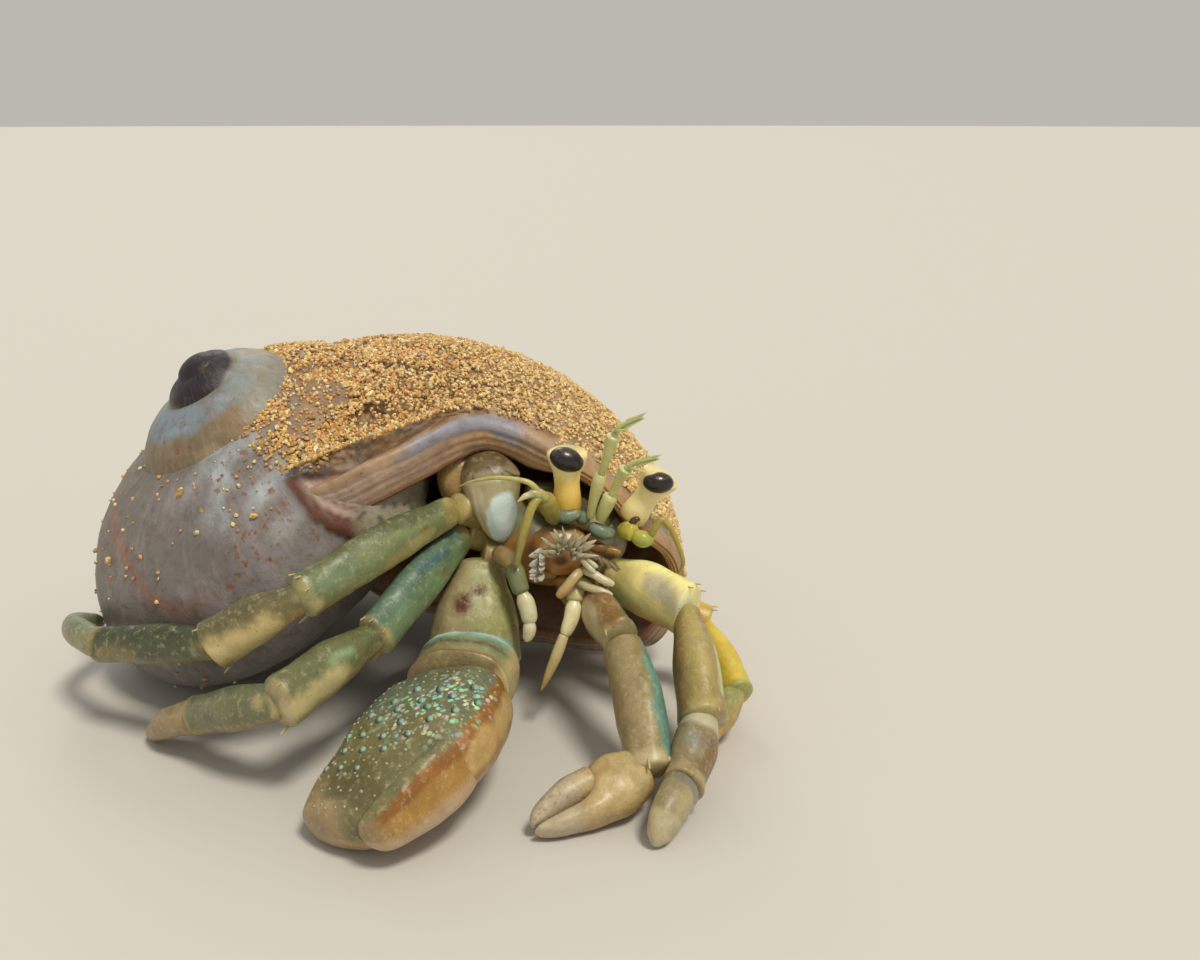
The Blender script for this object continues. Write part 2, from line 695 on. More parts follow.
@dataclass
class Shell:
    """The moon-snail shell: a tube wound on a spiral, with a thick lip and a hollow.

    Lengths are millimetres and turns are radians back from the lip.
    """

    apex: Point = (-20.232, -1.408, 17.859)
    axis: Point = (-0.3929, -0.292, 0.872)
    spin: float = -0.2872
    growth: float = 2.118
    centre: float = 9.709
    drop: float = 15.17
    half_long: float = 10.562
    half_short: float = 7.307
    tilt: float = -0.772
    lift: float = 1.5
    sink: float = 0.15
    lip_wall: float = 1.15
    hidden_phase: float = 4.2
    end: float = 20.5
    depth: float = 4.6
    turn: Matrix = field(init=False)

    def __post_init__(self) -> None:
        """Work out the spiral's own axes."""
        upright = Vector((0, 0, 1)).rotation_difference(Vector(self.axis)).to_matrix()
        self.turn = upright @ Matrix.Rotation(self.spin, 3, "Z")

    def spot(self, turn: float, phase: float, inset: float = 0.0) -> Vector:
        """Return a point of the whorl's wall."""
        long = (self.half_long - inset) * math.cos(phase)
        short = (self.half_short - inset) * math.sin(phase)
        rise = self.lift * step(1.6 - turn, 0, 1.6) * hump(phase, 2.45, 0.45)
        radius = self.centre + long * math.cos(self.tilt) - short * math.sin(self.tilt)
        height = -self.drop + long * math.sin(self.tilt) + short * math.cos(self.tilt) + rise
        size = self.growth ** (-turn / math.tau)
        place = Vector((max(radius, 0.05) * math.cos(turn), radius * math.sin(turn), height)) * size
        return self.turn @ place + Vector(self.apex) - Vector((0, 0, self.sink))

    def edge_inset(self, phase: float, past: float, inset: float) -> float:
        """Return the inset of a place near the lip, which is thick and stands out over the mouth."""
        phase %= math.tau
        near = hump(past, 0.0, 0.16)
        rise = reading(LIP_RISE, phase)[0] * near
        wall = 1 + (reading(LIP_WALL, phase)[0] - 1) * near
        return inset * wall - rise * (1 - inset / self.lip_wall)

    def glaze(self, point: Vector, turn: float) -> float:
        """Return how thickly the glazed fold beside the mouth covers a place, from 0 to 1."""
        if not 4.6 < turn < 7.2 or point.y > -3.0:
            return 0.0
        rim = reading(FOLD_EDGE, point.x)[0]
        inside = step(point.z + 0.08 * grain(point, 0.5) - rim, -0.1, 0.35) * step(point.x, -14.9, -14.3)
        return inside * step(13.0 + 0.2 * grain(point, 0.7) - point.z, 0.0, 0.5)

    def lip(self, phase: float) -> float:
        """Return how far the lip runs on past the start of the whorl."""
        phase %= math.tau
        wave = 0.02 * math.sin(5 * phase) + 0.012 * math.sin(11 * phase + 1)
        return -0.9 * (step(phase, 1.8, 2.6) - step(phase, 3.7, 4.7)) + wave

    def stations(self) -> list[tuple[float, float, float]]:
        """Return the rings of the wall from the hollow's end, round the lip, to the apex.

        Returns:
            For each ring, its turn past the lip, its inset and the lip's share in its turn.
        """
        rings = [
            (self.depth * (1 - k / INNER_RINGS) ** 1.3, self.lip_wall * (1 - 0.2 * k / INNER_RINGS), 1.0)
            for k in range(INNER_RINGS)
        ]
        for k in range(RIM_RINGS):
            wave = 0.003 * math.sin(math.tau * k / 4)
            rings.append((-0.01 - 0.014 * math.sin(math.pi * (k + 0.5) / RIM_RINGS) + wave, 1.1 - 0.06 * k, 1.0))
        rings += [(0.012, 0.0, 1.0), (0.024, 0.0, 1.0)]
        rings += [
            (0.036 + 4.4 * (k / LIP_RINGS) ** 1.2, 0.0, max(0.0, 1 - k / 110)) for k in range(1, LIP_RINGS + 1)
        ]
        rings += [(BODY_START + 2.6 * k / BODY_RINGS, 0.0, 0.0) for k in range(1, BODY_RINGS + 1)]
        rest = self.end - SPIRE_START
        return rings + [(SPIRE_START + rest * k / SPIRE_RINGS, 0.0, 0.0) for k in range(1, SPIRE_RINGS + 1)]

    def inner_tone(self, along: float, edge: float, inset: float, point: Vector) -> Tone:
        """Return the colour of the lip's streaked face and of the hollow behind it.

        Args:
            along: place round the section, in radians.
            edge: radians back from the lip.
            inset: depth in the wall.
            point: where it is.
        """
        depth = inset / self.lip_wall + 0.06 * grain(point, 1.3, 8.2) - 0.22 * step(1.85 - along, 0.0, 0.15)
        blue = step(along, 1.6, 1.72) * step(2.14 - along, 0.0, 0.08)
        band = washed("a38870", ("93919e", blue), ("b89e88", step(depth, 0.2, 0.3)))
        for place, dark in ((0.34, "9c7a62"), (0.5, "74503c"), (0.72, "8e6652")):
            band = washed(band, (dark, hump(depth, place, 0.05) * 0.65))
        for place in (0.26, 0.42, 0.6):
            band = washed(band, ("d2c4b4", hump(depth, place, 0.035) * 0.7 * step(along, 1.95, 2.3)))
        right = step(2.0 - along, 0.0, 0.2)
        return washed(
            band,
            ("a67a5e", step(depth, 0.78, 0.86)),
            ("7f543a", step(depth, 0.93, 1.0)),
            ("a98352", step(1.5 - along, 0.0, 0.15) * 0.9),
            ("cfa673", 0.6 * right * step(depth, 0.2, 0.3) * step(0.7 - depth, 0.0, 0.1)),
            ("9c7850", step(edge, 0.02, 0.4)),
            ("8a6038", step(edge, 0.6, 2.2)),
            ("a8734a", step(-point.z, -5.5, -3.0) * step(-point.y, 0.0, 3.0) * 0.6),
        )

    def outer_tone(self, turn: float, along: float, edge: float, point: Vector) -> Tone:
        """Return the colour of the shell's outer wall.

        Args:
            turn: radians back from the start of the whorl.
            along: place round the section, in radians.
            edge: radians back from the lip.
            point: where it is.
        """
        x, z = point.x, point.z
        cloudy, patchy = grain(point, 4.0, 3.1), grain(point, 1.3, 8.2)
        upper = step(4.6 - (point - Vector((-16.2, -5.6, 12.8))).length, 0.0, 3.4)
        lower = step(3.4 - (point - Vector((-14.6, -7.6, 9.6))).length, 0.0, 2.5)
        streak = abs(along - 2.0 - 0.1 * patchy)
        line = abs(along - 1.46 - 0.5 * step(4.6 - turn, 0.0, 1.0) + 0.35 * step(turn, 4.2, 4.7) + 0.04 * cloudy)
        reach = x + max(0.0, z - 13.0)
        tip = (point - Vector((-20.4, -1.9, 17.0))).length
        near = step(0.45 - edge + 0.1 * patchy, 0.0, 0.3) * step(z, 9.5, 12.0)
        strip = step(0.05 - edge, 0.0, 0.03) * step(z, 6.0, 9.0)
        blue = step(along, 1.6, 1.72) * step(2.14 - along, 0.0, 0.08)
        whorl = 0.8 * step(turn, 5.0, 5.5) * step(7.2 - turn, 0.0, 0.4)
        lined = mix(tone("8c6c50"), tone("b0977c"), step(math.sin(40 * along + 2 * patchy), -0.2, 0.5))
        colour = washed(
            "807a7b",
            ("6f6866", step(cloudy, -0.2, 0.6)),
            ("6e6459", step(-15.5 - x + 1.5 * cloudy, 3.5, 7.0) * 0.7),
            ("74736e", step(8.0 - z + cloudy, 0.0, 5.0) * 0.6),
            ("a6b2bb", 0.8 * (upper * step(patchy + 0.6 * cloudy, -0.25, 0.3))),
            ("9a9690", 0.6 * (lower * step(patchy, -0.3, 0.3))),
            ("8b8a8e", 0.4 * step(-cloudy, 0.1, 0.7)),
            ("857a62", step(turn, 6.5, 7.6)),
            ("7d6c54", step(turn, 8.6, 9.6) * 0.7),
            ("7d8a96", step(turn, 8.6, 9.4) * step(0.4 - streak, 0.0, 0.2)),
            ("8d6455", 0.7 * step(0.1 - line, 0.0, 0.07) * step(turn, 3.2, 3.9) * step(5.0 - turn, 0.0, 0.5)),
            ("b8905a", 0.85 * self.dusted(point, edge) * step(reach, -15.5, -12.0) * step(patchy, -0.7, 0.1)),
            ("8f7354", 0.6 * step(reach + 1.5 * cloudy, -18.0, -15.0) * step(z, 13.2, 15.2) * step(patchy, -0.3, 0.3)),
            ("8f7458", whorl * step(x, -16.0, -14.0) * step(z, 12.6, 13.6)),
            ("87908f", 0.6 * step(turn, 11.6, 12.2)),
            ("221a20", step(turn, 11.9, 12.7) * step(2.3 + 0.3 * patchy - tip, 0.0, 0.4)),
        )
        colour = mix(colour, lined, 0.8 * near)
        return self.glazed(mix(colour, washed("a88a66", ("93919e", blue)), strip), point, turn, patchy)

    def glazed(self, colour: Tone, point: Vector, turn: float, patchy: float) -> Tone:
        """Return a colour with the glazed fold over it, its brown rim, pale wall and dark squiggles."""
        glaze = self.glaze(point, turn) * step(13.9 - point.z, 0.0, 0.5)
        if glaze <= 0:
            return colour
        rise = point.z + 0.1 * patchy - reading(FOLD_EDGE, point.x)[0]
        fold = washed(
            "6b3f1c",
            ("643c2e", step(rise, 0.25, 0.4)),
            ("ab9484", step(rise, 1.0, 1.15)),
            ("5f3b2c", hump(rise, 1.5, 0.1) * 0.9),
            ("8f6452", step(rise, 1.7, 1.85)),
        )
        squiggle = abs(grain(point, 0.8, 4.4) + 0.12 * math.sin(4 * point.x))
        wall = washed(
            "8f8873", ("a69f8d", step(patchy, -0.2, 0.4)), ("3f3a3c", step(0.07 - squiggle, 0.0, 0.05) * 0.8)
        )
        inside = mix(fold, wall, step(point.x + 0.5 * patchy, -11.9, -11.2))
        inside = washed(inside, ("3e2618", step(1.0 - glaze, 0.05, 0.6) * 0.9))
        return mix(colour, inside, min(1.0, 2.5 * glaze))

    def dusted(self, point: Vector, edge: float) -> float:
        """Return how thickly sand lies at a place of the outer wall, from 0 to 1."""
        drift = 1.5 * grain(point, 3.0, 7.7) + 1.1 * grain(point, 1.1, 2.2)
        across = step(point.x + drift + 0.8 * max(0.0, point.z - 13.0), -17.2, -12.6)
        bare = 1 - 0.75 * step(grain(point, 1.9, 5.5) + 0.5 * step(-point.x, 8.0, 13.0), 0.42, 0.6)
        upper = 1 - step(edge, 4.2, 4.7) * (1 - step(point.z + 0.4 * drift, 12.8, 13.9))
        return across * bare * upper * step(edge, 0.03, 0.07) * step(point.z + drift, 3.0, 7.5)

    def nub(self) -> Loft:
        """Return the round nub that closes the apex."""
        ring = [self.spot(self.end - math.tau * k / 12, 2.3) for k in range(12)]
        middle = sum(ring, Vector()) / 12
        wide = 2.3 * sum((place - middle).length for place in ring) / 12
        axis = self.turn @ Vector((0.0, 0.0, 1.0))
        return Loft(
            [tuple(middle - axis * wide * 0.5), tuple(middle + axis * wide * 0.2)], even([(0, wide), (1, wide)]),
            sides=24, rings=16, ends=(0.5, 0.5), square=2.0, rough=0.0, paint=plain("1e171c"),
        )

    def worn(self, turn: float, phase: float, past: float, inset: float) -> Vector:
        """Return a place of the wall with its lean by the lip, its unevenness and its glaze."""
        place = self.spot(turn, phase, self.edge_inset(phase, max(past, 0.0), inset))
        place += Vector((-0.15, -0.4, 0.4)) * (hump(past, 0.0, 0.12) * hump(phase % math.tau, 2.5, 0.2))
        rise = 0.06 * grain(place, 2.4) + 0.03 * grain(place, 0.8)
        if inset == 0:
            rise += 0.28 * self.glaze(place, turn)
        return place + (place - self.spot(turn, phase + math.pi, inset)).normalized() * rise

    def build(self) -> None:
        """Build the wall as one closed tube, with a round nub on its apex, and dress it."""
        form = Form()
        form.add(self.nub())
        rings = self.stations()
        count = len(rings) + 1
        ball = bmesh.ops.create_uvsphere(form.mesh, u_segments=SHELL_SIDES, v_segments=count, radius=1)
        for vert in ball["verts"]:
            k = round(math.acos(min(max(vert.co.z, -1), 1)) / math.pi * count)
            past, inset, share = rings[min(max(k, 1), count - 1) - 1]
            phase = self.hidden_phase + (-math.atan2(vert.co.y, vert.co.x) % math.tau)
            turn = past + self.lip(phase) * share
            if k in (0, count):
                vert.co = (self.spot(past, 0.0, inset) + self.spot(past, math.pi, inset)) / 2
            else:
                vert.co = self.worn(turn, phase, past, inset)
            if inset < 0.5 and vert.co.z < 0.02:
                vert.co.z = max(vert.co.z, 0.0)
            edge, along = max(past, 0.0), phase % math.tau
            if inset > 0.0:
                colour = self.inner_tone(along, edge, inset, vert.co)
            else:
                colour = self.outer_tone(turn, along, edge, vert.co)
            vert[form.paint] = (*colour, 1.0)
            vert[form.rust] = self.rusty(vert.co) * (1.0 if inset == 0 else 0.3)
            vert[form.flow] = (turn * 26, phase * 1.4, 0.0)
        if form.mesh.calc_volume(signed=True) < 0:
            bmesh.ops.reverse_faces(form.mesh, faces=form.mesh.faces[:])
        form.done("moon_snail_shell", ShellFinish(), ["shell"])

    def rusty(self, point: Vector) -> float:
        """Return how readily rust-brown stains show at a place."""
        near = (step(r - (point - Vector((x, y, z))).length, 0.0, 0.8) for x, y, z, r in RUST_SPOTS)
        return min(1.0, sum(near) + 0.1)


Grain = tuple[Vector, Vector, float, float]
PEBBLE_FACES = 20


@dataclass
class SandCoat:
    """Sand grains stuck on the shell, each a small faceted pebble."""

    shell: Shell
    count: int = 22000
    stray: float = 0.012
    seed: int = 11
    codes: Sequence[str] = (
        "dcb46a", "c79450", "ecd08c", "b0783f", "f3e6bc", "cf9f66", "84603c", "dc9650", "ead6a0", "b3a994",
    )
    shares: Sequence[float] = (0.18, 0.16, 0.16, 0.09, 0.1, 0.12, 0.04, 0.05, 0.06, 0.04)

    def places(self, random: np.random.Generator) -> list[Grain]:
        """Return the places and outward directions of the grains.

        Args:
            random: the seeded source of chance.

        Returns:
            A place, an outward direction, a turn and a phase for each grain.
        """
        found: list[Grain] = []
        while len(found) < self.count:
            turn = 8.6 * random.random() - 0.9
            phase = random.uniform(-0.8 if turn < 4.6 else 1.45, 3.1)
            if random.random() > self.shell.growth ** (-turn / math.pi):
                continue
            edge = turn - self.shell.lip(phase)
            if edge < 0.0:
                continue
            point = self.shell.spot(turn, phase, self.shell.edge_inset(phase, edge, 0.0))
            if point.z < 0.7:
                continue
            if random.random() > max(self.shell.dusted(point, edge), self.stray):
                continue
            outward = (point - self.shell.spot(turn, phase + math.pi)).normalized()
            found.append((point, outward, turn, phase))
        return found

    def build(self) -> None:
        """Build the coat in three pieces."""
        random = np.random.default_rng(self.seed)
        places = self.places(random)
        third = len(places) // 3
        for name, first, last in (("a", 0, third), ("b", third, 2 * third), ("c", 2 * third, len(places))):
            self.piece(f"sand_coat_{name}", places[first:last], random)

    def piece(self, name: str, places: Sequence[Grain], random: np.random.Generator) -> None:
        """Build one piece of the coat by copying one pebble and setting each copy in place."""
        mesh = bmesh.new()
        bmesh.ops.create_icosphere(mesh, subdivisions=1, radius=1)
        pebble = len(mesh.verts)
        while len(mesh.verts) < pebble * len(places):
            short = len(places) * pebble - len(mesh.verts)
            faces = mesh.faces[:] if short >= len(mesh.verts) else mesh.faces[: short // pebble * PEBBLE_FACES]
            bmesh.ops.duplicate(mesh, geom=faces)
        data = bpy.data.meshes.new(name)
        mesh.to_mesh(data)
        mesh.free()
        count = len(data.vertices) // pebble
        shape = np.empty(len(data.vertices) * 3)
        data.vertices.foreach_get("co", shape)
        shape = shape.reshape(count, pebble, 3)
        shape *= random.uniform(0.75, 1.2, (count, pebble, 1)) * random.uniform(0.6, 1.1, (count, 1, 3))
        corner = np.array([((turn + 1) / 9, (phase + 1) / 5) for _, _, turn, phase in places[:count]])
        charts = shape[..., :2] * 0.0015 + corner[:, None, :]
        angles = random.uniform(0, math.tau, (count, 2))
        for k, axis in ((0, (0, 1)), (1, (1, 2))):
            c, s = np.cos(angles[:, k])[:, None], np.sin(angles[:, k])[:, None]
            a, b = shape[..., axis[0]].copy(), shape[..., axis[1]].copy()
            shape[..., axis[0]], shape[..., axis[1]] = a * c - b * s, a * s + b * c
        sizes = random.uniform(0.06, 0.14, count) * np.where(random.random(count) > 0.94, 1.7, 1.0)
        centres = np.array([p + n * 0.05 for p, n, _, _ in places[:count]])
        shape = shape * sizes[:, None, None] + centres[:, None, :]
        carry = np.array(STANCE)
        shape = shape.reshape(-1, 3) @ carry[:3, :3].T + carry[:3, 3]
        data.vertices.foreach_set("co", shape.ravel())
        palette = np.array([tone(code) for code in self.codes])
        chosen = palette[random.choice(len(palette), count, p=self.shares)]
        colours = np.ones((count, pebble, 4))
        pale = np.array([0.2 + 0.4 * step(p.x, -9.0, -1.0) for p, _, _, _ in places[:count]])[:, None]
        chosen = chosen * (1 - pale) + np.array(tone("f2dfa4")) * pale
        colours[..., :3] = np.minimum(chosen[:, None, :] * random.uniform(0.9, 1.25, (count, 1, 1)), 0.9)
        layer = data.attributes.new("paint", "FLOAT_COLOR", "POINT")
        layer.data.foreach_set("color", colours.ravel())
        corners = np.empty(len(data.loops), dtype=np.int32)
        data.loops.foreach_get("vertex_index", corners)
        chart = data.uv_layers.new(name="OFBake")
        chart.uv.foreach_set("vector", charts.reshape(-1, 2)[corners].ravel())
        data.update()
        dressed(data, name, SandFinish(), []).data.shade_flat()


# ------------------------------------------------------------------ markings and limbs


@dataclass(frozen=True)
class Patch:
    """A marking on the cuticle, at a place or drawn out along a line.

    Args:
        where: its middle, or one end of its line.
        radius: how far it reaches, in millimetres.
        colour: its colour code.
        share: how strongly it covers the ground colour.
        to: the other end of its line.
    """

    where: Point
    radius: float
    colour: str
    share: float = 0.85
    to: Point | None = None

    def tint(self, ground: Tone, point: Vector) -> Tone:
        """Return the ground colour with this marking over it at a point."""
        start = Vector(self.where)
        line = Vector(self.to or self.where) - start
        t = min(max((point - start).dot(line) / max(line.length_squared, 1e-9), 0.0), 1.0)
        far = (point - start - line * t).length + 0.22 * self.radius * grain(point, 0.35, self.radius)
        return washed(ground, (self.colour, self.share * step(self.radius - far, 0.0, 0.7 * self.radius)))


@dataclass(frozen=True)
class Bands:
    """A limb segment's colours: ridge, face and underside, with pale ends and markings.

    Args:
        ridge: colour code along the upper line.
        face: colour code of the sides.
        under: colour code of the lower side.
        near: colour code of the base end.
        far: colour code of the far end.
        ridge_from: upper share of the section where the ridge colour starts.
        under_from: share where the underside's colour starts.
        near_to: share of the length that the base end's colour covers.
        far_from: share of the length where the far end's colour starts.
        patches: markings over the ground colours.
    """

    ridge: str = "4f6a5e"
    face: str = "6f8a72"
    under: str = "b9a67c"
    near: str = "c2b183"
    far: str = "cdbb92"
    ridge_from: float = 0.72
    under_from: float = -0.2
    near_to: float = 0.06
    far_from: float = 0.93
    patches: tuple[Patch, ...] = ()

    def __call__(self, place: Place) -> Tone:
        """Return the colour of a place."""
        drift = 0.12 * grain(place.point, 0.8, 4.0)
        colour = washed(
            self.face,
            (self.ridge, step(place.top + drift, self.ridge_from - 0.15, self.ridge_from + 0.2)),
            (self.under, step(self.under_from - place.top + drift, -0.15, 0.4)),
            (self.near, step(self.near_to - place.u + 0.3 * drift, -0.03, 0.04)),
            (self.far, step(place.u - self.far_from + 0.3 * drift, -0.03, 0.04)),
        )
        for patch in self.patches:
            colour = patch.tint(colour, place.point)
        return colour


def limb_rows(base: float, middle: float, end: float, flat: float = 0.78) -> list[Row]:
    """Return rows of a limb segment with a narrow neck and a flared far rim."""
    heights = (
        (0.0, 0.72 * base), (0.05, 0.9 * base), (0.16, base), (0.5, middle),
        (0.85, end), (0.95, 1.03 * end), (0.985, 1.0 * end), (1.0, 0.85 * end),
    )
    return even([(u, height * flat, height) for u, height in heights])


def between(a: Point, b: Point, share: float = 0.5, shift: Point = (0.0, 0.0, 0.0)) -> Point:
    """Return the point a share of the way from a to b, moved by a shift."""
    point = Vector(a).lerp(Vector(b), share) + Vector(shift)
    return (point.x, point.y, point.z)


def limb_path(a: Point, b: Point, shift: Point, end: float, start: float = 0.0) -> list[Point]:
    """Return a segment's line from a share start to a share end of the way from a to b, bent by a shift."""
    return [between(a, b, start), between(a, b, 0.5, shift), between(a, b, end)]


@dataclass
class Segment:
    """One hard-skinned stretch of a limb, standing for the solid of the same name.

    Args:
        name: the solid's name, and the piece's.
        loft: its form.
        finish: its surface.
        slot: the record's material slot.
        spurs: small points on it, as (share of length, degrees from the top to the right, length).
        extras: further forms in the same piece.
    """

    name: str
    loft: Loft
    finish: CuticleFinish = LEG
    slot: Slot = Slot.OLIVE
    spurs: Rows = ()
    extras: Sequence[Loft] = ()

    def spur(self, u: float, degrees: float, length: float) -> Loft:
        """Return a small point that stands on the segment and leans forward."""
        spine = Spine(self.loft.path, self.loft.top)
        angle = math.radians(degrees)
        ball = Vector((math.sin(angle), math.cos(angle), 0.0)) * math.sqrt(max(0.0, 1 - (1 - 2 * u) ** 2))
        ball.z = 1 - 2 * u
        root = self.loft.pose(spine, ball).point
        along, across, upward = spine.axes(u)
        lean = (across * math.sin(angle) + upward * math.cos(angle)) * 0.35 + along
        start, end = root - lean.normalized() * 0.25 * length, root + lean.normalized() * length
        thick = 0.36 * length
        return Loft(
            [tuple(start), tuple(end)], even([(0, thick), (0.5, 0.7 * thick), (1, 0.06)]),
            top=self.loft.top, sides=10, rings=10, rough=0.0, paint=plain("b8aa78"),
        )

    def build(self) -> None:
        """Build the segment."""
        spurs = [self.spur(*spur) for spur in self.spurs]
        formed(self.name, self.finish, [*self.extras, *spurs, self.loft])


BODY = Vector((-3.0, -1.9, 7.9))
FORWARD = Vector((0.340, -0.940, 0.0))
LEFT = Vector((0.883, 0.321, -0.341))
UP = Vector((0.321, 0.116, 0.940))


def on_body(forward: float, left: float, up: float) -> Point:
    """Return a place given from the middle of the body, in millimetres."""
    point = BODY + FORWARD * forward + LEFT * left + UP * up
    return (point.x, point.y, point.z)


def coxa(root: Point, base: Point, reach: float, sizes: Point) -> Loft:
    """Return a limb's first segment, from its root to a reach along the way to its base."""
    paint = Bands("7d7850", "968655", "94834f", far="a8975f")
    return Loft([root, between(root, base, reach)], limb_rows(*sizes, 1.0), rings=24, paint=paint)


def claw_part(name: str, loft: Loft, spurs: Rows = (), extras: Sequence[Loft] = ()) -> None:
    """Build one segment of a cheliped."""
    Segment(name, loft, CLAW, Slot.CLAW, spurs, extras).build()


@dataclass
class WalkingLeg:
    """A walking leg of five segments, from the body to the claw at its tip.

    Args:
        name: the start of its solids' names.
        joints: root, base, knee, ankle, foot and tip.
        size: thickness as a share of the usual.
        bend: how far the last segment's middle stands off its chord.
        tones: painters of merus, carpus, propodus and dactyl.
        slot: the record's material slot.
        spurs: points on merus, carpus, propodus and dactyl.
    """

    name: str
    joints: Sequence[Point]
    size: float
    bend: Point
    tones: Sequence[Painter]
    slot: Slot = Slot.OLIVE
    spurs: Sequence[Rows] = ((), (), (), ())

    def build(self) -> None:
        """Build the five segments."""
        root, base, knee, ankle, foot, tip = self.joints
        s = self.size
        shapes = (
            ("merus", base, base, knee, 0.15, 1.03, (1.6, 2.15, 2.05), 0.78, 60),
            ("carpus", between(base, knee, 0.97), knee, ankle, 0.12, 1.03, (1.45, 2.15, 2.25), 0.78, 52),
            ("propodus", between(knee, ankle, 0.96), ankle, foot, 0.05, 1.02, (1.55, 1.85, 1.62), 0.86, 56),
        )
        Segment(f"{self.name}_coxa", coxa(root, base, 1.06, (1.1, 1.5, 1.5)), slot=self.slot).build()
        for shape, paint, spurs in zip(shapes, self.tones, self.spurs):
            part, start, near, far, lift, reach, sizes, flat, rings = shape
            loft = Loft(
                [start, between(near, far, 0.5, (0, 0, lift)), between(near, far, reach)],
                limb_rows(*(size * s for size in sizes), flat),
                sides=44, rings=rings, ends=(0.06, 0.035), crest=0.1, square=2.25, rough=0.05, paint=paint,
            )
            Segment(f"{self.name}_{part}", loft, slot=self.slot, spurs=spurs).build()
        sizes = [(0, 0.85, 0.95), (0.1, 1.25, 1.45), (0.5, 1.15, 1.32), (0.85, 0.75, 0.85)]
        claw = Loft(
            [between(ankle, foot, 0.97), between(foot, tip, 0.5, self.bend), tip],
            even([*((u, wide * s, high * s) for u, wide, high in sizes), (1, 0.24, 0.26)]),
            sides=36, rings=56, ends=(0.05, 0.03), crest=0.08, rough=0.04, paint=self.tones[3],
        )
        Segment(f"{self.name}_dactyl", claw, slot=self.slot, spurs=self.spurs[3]).build()


